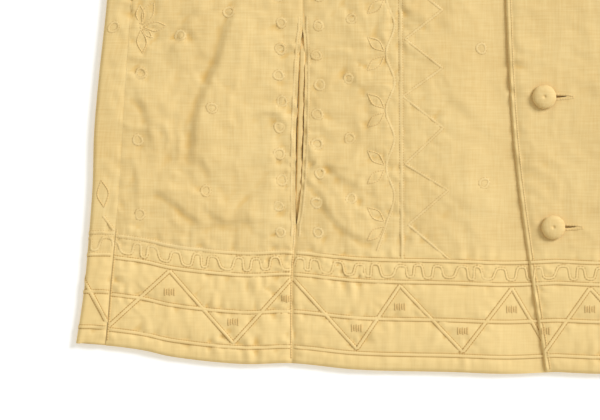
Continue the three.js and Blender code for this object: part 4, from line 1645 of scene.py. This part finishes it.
@dataclass
class Collar:
    """The low stand collar, one band round the neck, folded flat at both shoulders."""

    high: float = 32.0
    lean: float = 35.0
    opening: float = 1.2

    gap: float = 0.5  # between its foot and the neckline
    inside: float = 2.6  # how far within the neck's corners its folds start

    def stations(self) -> list[tuple[float, float, float, float]]:
        """Points x, up, z of the collar's foot from end to end, with their share of its lean."""
        end = CUT.neck[0] - self.inside
        made = []
        near_end = self.opening + np.array([0.0, 0.5, 1.2])
        for x in np.concatenate([near_end, np.linspace(5.0, end, 30)]):
            up = float(CUT.neckline(CUT.front_neck, x))
            below = float(CUT.below_shoulder(np.array(x), np.array(up)))
            z = CUT.top - (CUT.top - CUT.shoulder_face - 0.6) * (1.0 - float(ease(below / 14.0)))
            made.append((-x, up + self.gap, z, x / end))
        bend = (made[-1][2] - CUT.under) / 2
        cos, sin = math.cos(math.radians(self.lean)), math.sin(math.radians(self.lean))
        for a in np.linspace(0.0, math.pi, 9)[1:-1]:
            out = end + bend * math.sin(a) * cos
            lowest = CUT.front_neck if a < math.pi / 2 else CUT.back_neck
            up = float(CUT.neckline(lowest, out + cos)) - sin + 2 * self.gap
            made.append((-out, up, CUT.under + bend * (1.0 + math.cos(a)), 1.0))
        for x in np.linspace(end, 0.0, 30):
            made.append((-x, float(CUT.neckline(CUT.back_neck, x)) + self.gap, CUT.under, x / end))
        return made + [(-x, up, z, lean) for x, up, z, lean in made[-2::-1]]

    def build(self, finishes: Finishes) -> None:
        """Makes the collar."""
        stations = self.stations()
        heights = spaced((self.high, 2.0))
        rows = []
        wobble = Noise(71, 13.0)
        for h in heights:
            row = []
            for i, (x, up, z, lean) in enumerate(stations):
                turn = math.radians(self.lean * lean) * (1.0 if i <= len(stations) // 2 else -1.0)
                px, py = x + h * math.sin(turn), up + h * math.cos(turn)
                on_face = max(0.0, min(1.0, (z - 3.0) / 2.0))
                soft = 0.35 * float(wobble.at(px, py)) * on_face * math.sin(math.pi * h / self.high)
                edge = 0.9 * (1.0 - float(ease(min(h, self.high - h) / 1.6))) ** 2 * on_face
                row.append((px, py, z + soft - edge))
            rows.append(row)
        points = np.array(rows)
        long = lengths(points[0, :, :2])
        across, up = np.meshgrid(long, heights)
        cloth = Sheet("collar_cloth", across, up, points).build(CUT.cloth, facing_out=False)
        dress(cloth, finishes.cloth, ["collar"])


@dataclass
class Pocket:
    """A pocket bag: one folded cotton sheet behind the slit, its facing puffed up between the slit's lips."""

    side: Side
    reach: float = 98.0
    below: float = 36.0
    above: float = 8.0
    behind: float = 8.0
    wall: float = 0.55
    low_face: float = 3.1
    puff: float = 2.8  # how far the facing stands up in the slit

    middle: float = 0.15  # how far the puff lies from the slit's middle, towards the front
    half: float = 2.1  # half the puff's width
    radius: float = 0.45  # of the bag's fold

    def build(self, finishes: Finishes) -> None:
        """Makes the bag."""
        seam = -float(CUT.panel.at(sum(CUT.slit) / 2))
        bottom, top = CUT.slit[0] - self.below, CUT.slit[1] + self.above
        near = np.linspace(0.0, 2.0 * self.behind, 41)  # close together where the facing shows
        under = np.concatenate([near, np.linspace(near[-1], self.reach + self.behind, 30)[1:]])
        turn = np.linspace(0.0, math.pi, 7)[1:-1]
        over = np.linspace(0.0, self.reach - 5.0, 26)  # back from the fold towards the slit
        fold = seam + self.reach
        x_line = np.concatenate([seam - self.behind + under, fold + self.radius * np.sin(turn), fold - over])
        rise = self.radius * (1.0 - np.cos(turn))
        rises = np.concatenate([np.zeros(len(under)), rise, np.full(len(over), 2 * self.radius)])
        z_line = self.low_face + rises
        x, up = np.meshgrid(x_line, np.linspace(bottom, top, 78))
        share = np.clip((up - CUT.slit[0]) / (CUT.slit[1] - CUT.slit[0]), 0.0, 1.0)
        lift = np.exp(-(((x + CUT.panel.at(up) - self.middle) / self.half) ** 6))
        lift = lift * ease(share / 0.22) * ease((1.0 - share) / 0.1)
        lift[:, len(under) :] = 0.0
        points = np.dstack([-self.side.value * x, up, z_line[None, :] + self.puff * lift])
        around = lengths(np.column_stack([x_line, z_line]))
        sheet = Sheet(f"pocket_{self.side.word}_bag", np.tile(around, (len(up), 1)), up, points)
        bag = sheet.build(self.wall, facing_out=self.side is Side.RIGHT)
        dress(bag, finishes.pocket, [f"pocket_{self.side.word}"])


@dataclass
class Button:
    """A cloth-covered domed button with a small dimple, on its shank."""

    number: int
    radius: float = 8.0
    base: float = 7.15
    high: float = 4.75
    shank: float = 1.5
    shank_high: float = 1.6
    profile: tuple[tuple[float, float], ...] = (  # shares of the radius and of the height
        (0.80, 0.0), (0.93, 0.08), (1.0, 0.24), (0.985, 0.42), (0.92, 0.62), (0.78, 0.8), (0.6, 0.91),
        (0.42, 0.965), (0.27, 0.985), (0.16, 0.96), (0.1, 0.87), (0.05, 0.8),
    )

    def build(self, finishes: Finishes) -> None:
        """Makes the button."""
        up = CUT.button_ups[self.number - 1]
        x = -float(CUT.buttons.at(up))
        foot = to_frame(np.array([x, up, self.base - self.shank_high]))
        bpy.ops.object.select_all(action="DESELECT")
        bpy.ops.mesh.primitive_circle_add(
            vertices=56, radius=self.shank * MM, fill_type="NGON", location=foot
        )
        made = bpy.context.object
        made.name = made.data.name = f"button_{self.number}_covered"
        bpy.ops.object.mode_set(mode="EDIT")
        bpy.ops.mesh.select_all(action="SELECT")
        radius, level = self.shank, -self.shank_high
        for share, rise in ((self.shank / self.radius, 0.0), *self.profile):
            wanted, height = share * self.radius, rise * self.high
            move = {"value": (0.0, 0.0, (height - level) * MM)}
            bpy.ops.mesh.extrude_region_move(TRANSFORM_OT_translate=move)
            scale = wanted / radius
            bpy.ops.transform.resize(value=(scale, scale, 1.0))
            radius, level = wanted, height
        bpy.ops.mesh.select_all(action="SELECT")
        bpy.ops.mesh.normals_make_consistent(inside=False)
        bpy.ops.object.mode_set(mode="OBJECT")
        bpy.ops.object.transform_apply(location=True, rotation=False, scale=False)
        self.gather(made, x, up)
        smooth = made.modifiers.new("smooth", "SUBSURF")
        smooth.levels = smooth.render_levels = 1
        bpy.ops.object.modifier_apply(modifier=smooth.name)
        bpy.ops.object.shade_smooth()
        dress(made, finishes.button, [f"button_{self.number}"])

    def gather(self, made: Object, x: float, up: float) -> None:
        """Small pleats round the rim, where the cloth is drawn under."""
        noise = Noise(80 + self.number, 0.9)
        for vert in made.data.vertices:
            out = np.array([vert.co.x / MM - x, vert.co.y / MM - HEM_Y - up])
            distance = float(np.hypot(*out))
            angle = math.atan2(out[1], out[0])
            if distance > 0.5 * self.radius:
                share = (distance / self.radius) ** 3
                pleat = float(noise.at(3.0 * math.cos(angle), 3.0 * math.sin(angle)))
                grown = 1.0 + 0.036 * pleat * share
                vert.co.x = (x + out[0] * grown) * MM
                vert.co.y = (up + HEM_Y + out[1] * grown) * MM


# ---------- the whole jacket ----------


@dataclass
class Jacket:
    """Plans the embroidery and builds every piece."""

    band: HemBand = field(default_factory=HemBand)
    pattern: FrontPattern = field(default_factory=FrontPattern)
    right_turns: tuple[float, ...] = (-341, -295, -255, -213, -174, -131.5, -103, -61.5, -29, -4, 20)
    steep_leg: float = 28.0  # from the zigzag's turn at a side seam to its next one on the back's cut
    left_turns: tuple[float, ...] = (-30, -7.5, 22.5, 61.5, 103, 131.5, 174, 213, 255, 295, 341)
    side_seam_top: float = 96.0  # where the stitching beside the side seams ends
    off_seam: float = 0.75  # how far it lies from its seam

    def front_lines(self, side: Side) -> list[Line]:
        """Every worked line of one front and its side panel, in the jacket's own x."""
        is_right = side is Side.RIGHT
        start, end = (-322.0, 20.0) if is_right else (-36.0, 322.0)
        turns = self.right_turns if is_right else self.left_turns
        made = self.band.lines(start, end, turns, first_high=True, hem=CUT.hem_up)
        pattern = self.pattern.lines()
        made.extend(mirrored(pattern) if is_right else pattern)
        ups = np.arange(CUT.hem_up(300) + 3.0, self.side_seam_top, STEP[Stitch.PLAIN])
        made.append(self.beside_seam(side, CUT.side_seam(ups) - self.off_seam, ups))
        ups = np.arange(CUT.hem_up(CUT.panel.at(0.0)) + 3.0, CUT.slit[0] - 2.0, STEP[Stitch.PLAIN])
        made.append(self.beside_seam(side, CUT.panel.at(ups) + self.off_seam, ups))
        if not is_right:
            made.extend(self.closing_lines())
        return made

    @staticmethod
    def beside_seam(side: Side, out: Array, ups: Array) -> Line:
        """A plain line at distances from the centre, at these heights."""
        return Line(Stitch.PLAIN, np.column_stack([side.value * out, ups]))

    def closing_lines(self) -> list[Line]:
        """The stitching along the left front's edge and round its buttonholes."""
        ups = np.arange(3.0, 636.0, STEP[Stitch.PLAIN])
        made = [Line(Stitch.PLAIN, np.column_stack([-CUT.edge.at(ups) + 3.2, ups]))]
        for up in CUT.button_ups:
            x = -float(CUT.buttons.at(up))
            for way in (-1.0, 1.0):
                border = [(x + 7.0, up + 1.75 * way), (x + 15.5, up + 1.35 * way), (x + 19.0, up + 0.5 * way)]
                made.append(Line.through(Stitch.SATIN, border))
            made.append(Line.through(Stitch.SATIN, [(x + 19.2, up - 1.3), (x + 19.2, up + 1.3)], 0.6))
        return made

    def back_lines(self) -> list[Line]:
        """The hem band, continued round both folds and across the back, on the back's own cut."""

        def hem(s: Array) -> Array:
            """Height of the hem at places on the cut."""
            s = np.asarray(s, float)
            flat, end, _ = BackSkin.stops(np.zeros(s.shape))
            out = np.where(np.abs(s) < flat, np.abs(s), flat - np.maximum(np.abs(s) - end, 0.0))
            return CUT.hem_up(out)

        seam = float(BackSkin.stops(np.array(0.0))[2])
        low_turn = float(BackSkin.stops(np.array(32.0))[2])
        high_turn = float(BackSkin.stops(np.array(78.0))[2]) - self.steep_leg
        turns = [-low_turn, *np.linspace(-high_turn, high_turn, 15), low_turn]
        made = self.band.lines(-seam, seam, turns, first_high=False, hem=hem, combs=False)

        def edge(up: Array) -> Array:
            """The cut's edge on the wearer's right, a little within the piece."""
            return BackSkin.stops(up)[2] - 0.2

        front = float(BackSkin.stops(np.array(230.0))[1])  # where the cloth has come round the fold
        near = float(BackSkin.stops(np.array(110.0))[2])  # the side seam, as a place on the cut
        for way in (-1.0, 1.0):
            made.extend(self.pattern.ring_at(way * (front + 3.5), up) for up in (229.0, 276.0))
            made.extend(self.pattern.leaf((way * (near - 9.0), 110.0), (way * (near - 13.0), 128.0)))
            made.append(Line.through(Stitch.FINE, [(way * (near - 8.6), 104.5), (way * near, 95.0)]))
        return clipped(made, lambda up: -edge(up), edge)

    def build(self, finishes: Finishes) -> None:
        """Builds the jacket, piece by piece."""
        lines = {side: self.front_lines(side) for side in Side}
        on_top = [line for side in Side for line in self.on_top(lines[side], side)]
        face = Face(StitchField(on_top, seed=5))
        for side in Side:
            Front(side, face).build(finishes, lines[side])
            SideFront(side, face).build(finishes, lines[side])
        Back(face).build(finishes, self.back_lines())
        for side in Side:
            Sleeve(side, face).build(finishes)
            Pocket(side).build(finishes)
        Collar().build(finishes)
        for number in range(1, len(CUT.button_ups) + 1):
            Button(number).build(finishes)

    @staticmethod
    def on_top(lines: Iterable[Line], side: Side) -> list[Line]:
        """The lines of one side that lie on its own cloth where it shows."""
        if side is Side.RIGHT:
            return clipped(lines, lambda up: -CUT.fold.at(up), lambda up: -CUT.edge.at(up) + 2.0)
        return clipped(lines, lambda up: -CUT.edge.at(up) + 0.5, lambda up: CUT.fold.at(up))


@dataclass(frozen=True)
class Studio:
    """A white paper sweep, soft daylight from the upper right and a camera straight above."""

    view_middle: tuple[float, float] = (-168.96, 108.24)
    view_width: float = 396.0
    distance: float = 3000.0
    sensor: float = 36.0
    key_strength: float = 2.46
    key_spread: float = 24.0  # degrees across, as of a window
    key_way: tuple[float, float, float] = (1.3, 0.85, 1.15)
    fill: float = 0.57
    key_tone: tuple[float, float, float] = (0.96, 1.0, 1.12)  # cooler than the fill, so that shade is warm
    fill_tone: tuple[float, float, float] = (1.03, 1.0, 0.88)

    def build(self) -> None:
        """Makes floor, light and camera."""
        bpy.ops.object.select_all(action="DESELECT")
        bpy.ops.mesh.primitive_plane_add(size=30.0, location=(0.0, 0.0, 0.0))
        floor = bpy.context.object
        floor.name = "studio_floor"
        floor.data.materials.append(StudioFloor().make())
        world = bpy.data.worlds.new("studio")
        world.use_nodes = True
        world.node_tree.nodes["Background"].inputs["Color"].default_value = (*self.fill_tone, 1.0)
        world.node_tree.nodes["Background"].inputs["Strength"].default_value = self.fill
        scene = bpy.context.scene
        scene.world = world
        scene.view_settings.view_transform = "Standard"
        middle = to_frame(np.array([*self.view_middle, CUT.top]))
        light = bpy.data.lights.new("key", "SUN")
        light.energy, light.angle = self.key_strength, math.radians(self.key_spread)
        light.color = self.key_tone
        key = bpy.data.objects.new("key", light)
        scene.collection.objects.link(key)
        x, y, z = self.key_way
        key.location = middle + np.array(self.key_way)
        key.rotation_euler = (math.atan2(math.hypot(x, y), z), 0.0, math.atan2(x, -y))
        camera = bpy.data.cameras.new("camera")
        camera.sensor_width = self.sensor
        camera.lens = self.sensor * self.distance / self.view_width
        camera.clip_end = 100.0
        seat = bpy.data.objects.new("camera", camera)
        scene.collection.objects.link(seat)
        seat.location = middle + np.array([0.0, 0.0, self.distance * MM])
        scene.camera = seat


def main() -> None:
    """Builds the studio and the jacket."""
    logging.basicConfig(level=logging.INFO, format="%(message)s")
    Studio().build()
    finishes = Finishes(
        cloth=SlubCotton().make(),
        # painted highlight: the cords are a little paler than the cloth, for the light that their raised
        # ridges catch
        worked=SlubCotton(
            name="corded_cotton_stitched_brown", base="EBCF93", pale="F2DAA3", deep="DFBE7E",
            from_map=False, stitched=True,
        ).make(),
        pocket=SlubCotton(name="pocket_cotton_plain", base="E8CA8C", pale="EED59C", deep="DAB978").make(),
        button=SlubCotton(name="covered_button_cotton", from_map=False, thread_gap=0.9, slub_long=7.0).make(),
    )
    Jacket().build(finishes)


if __name__ == "__main__":
    main()
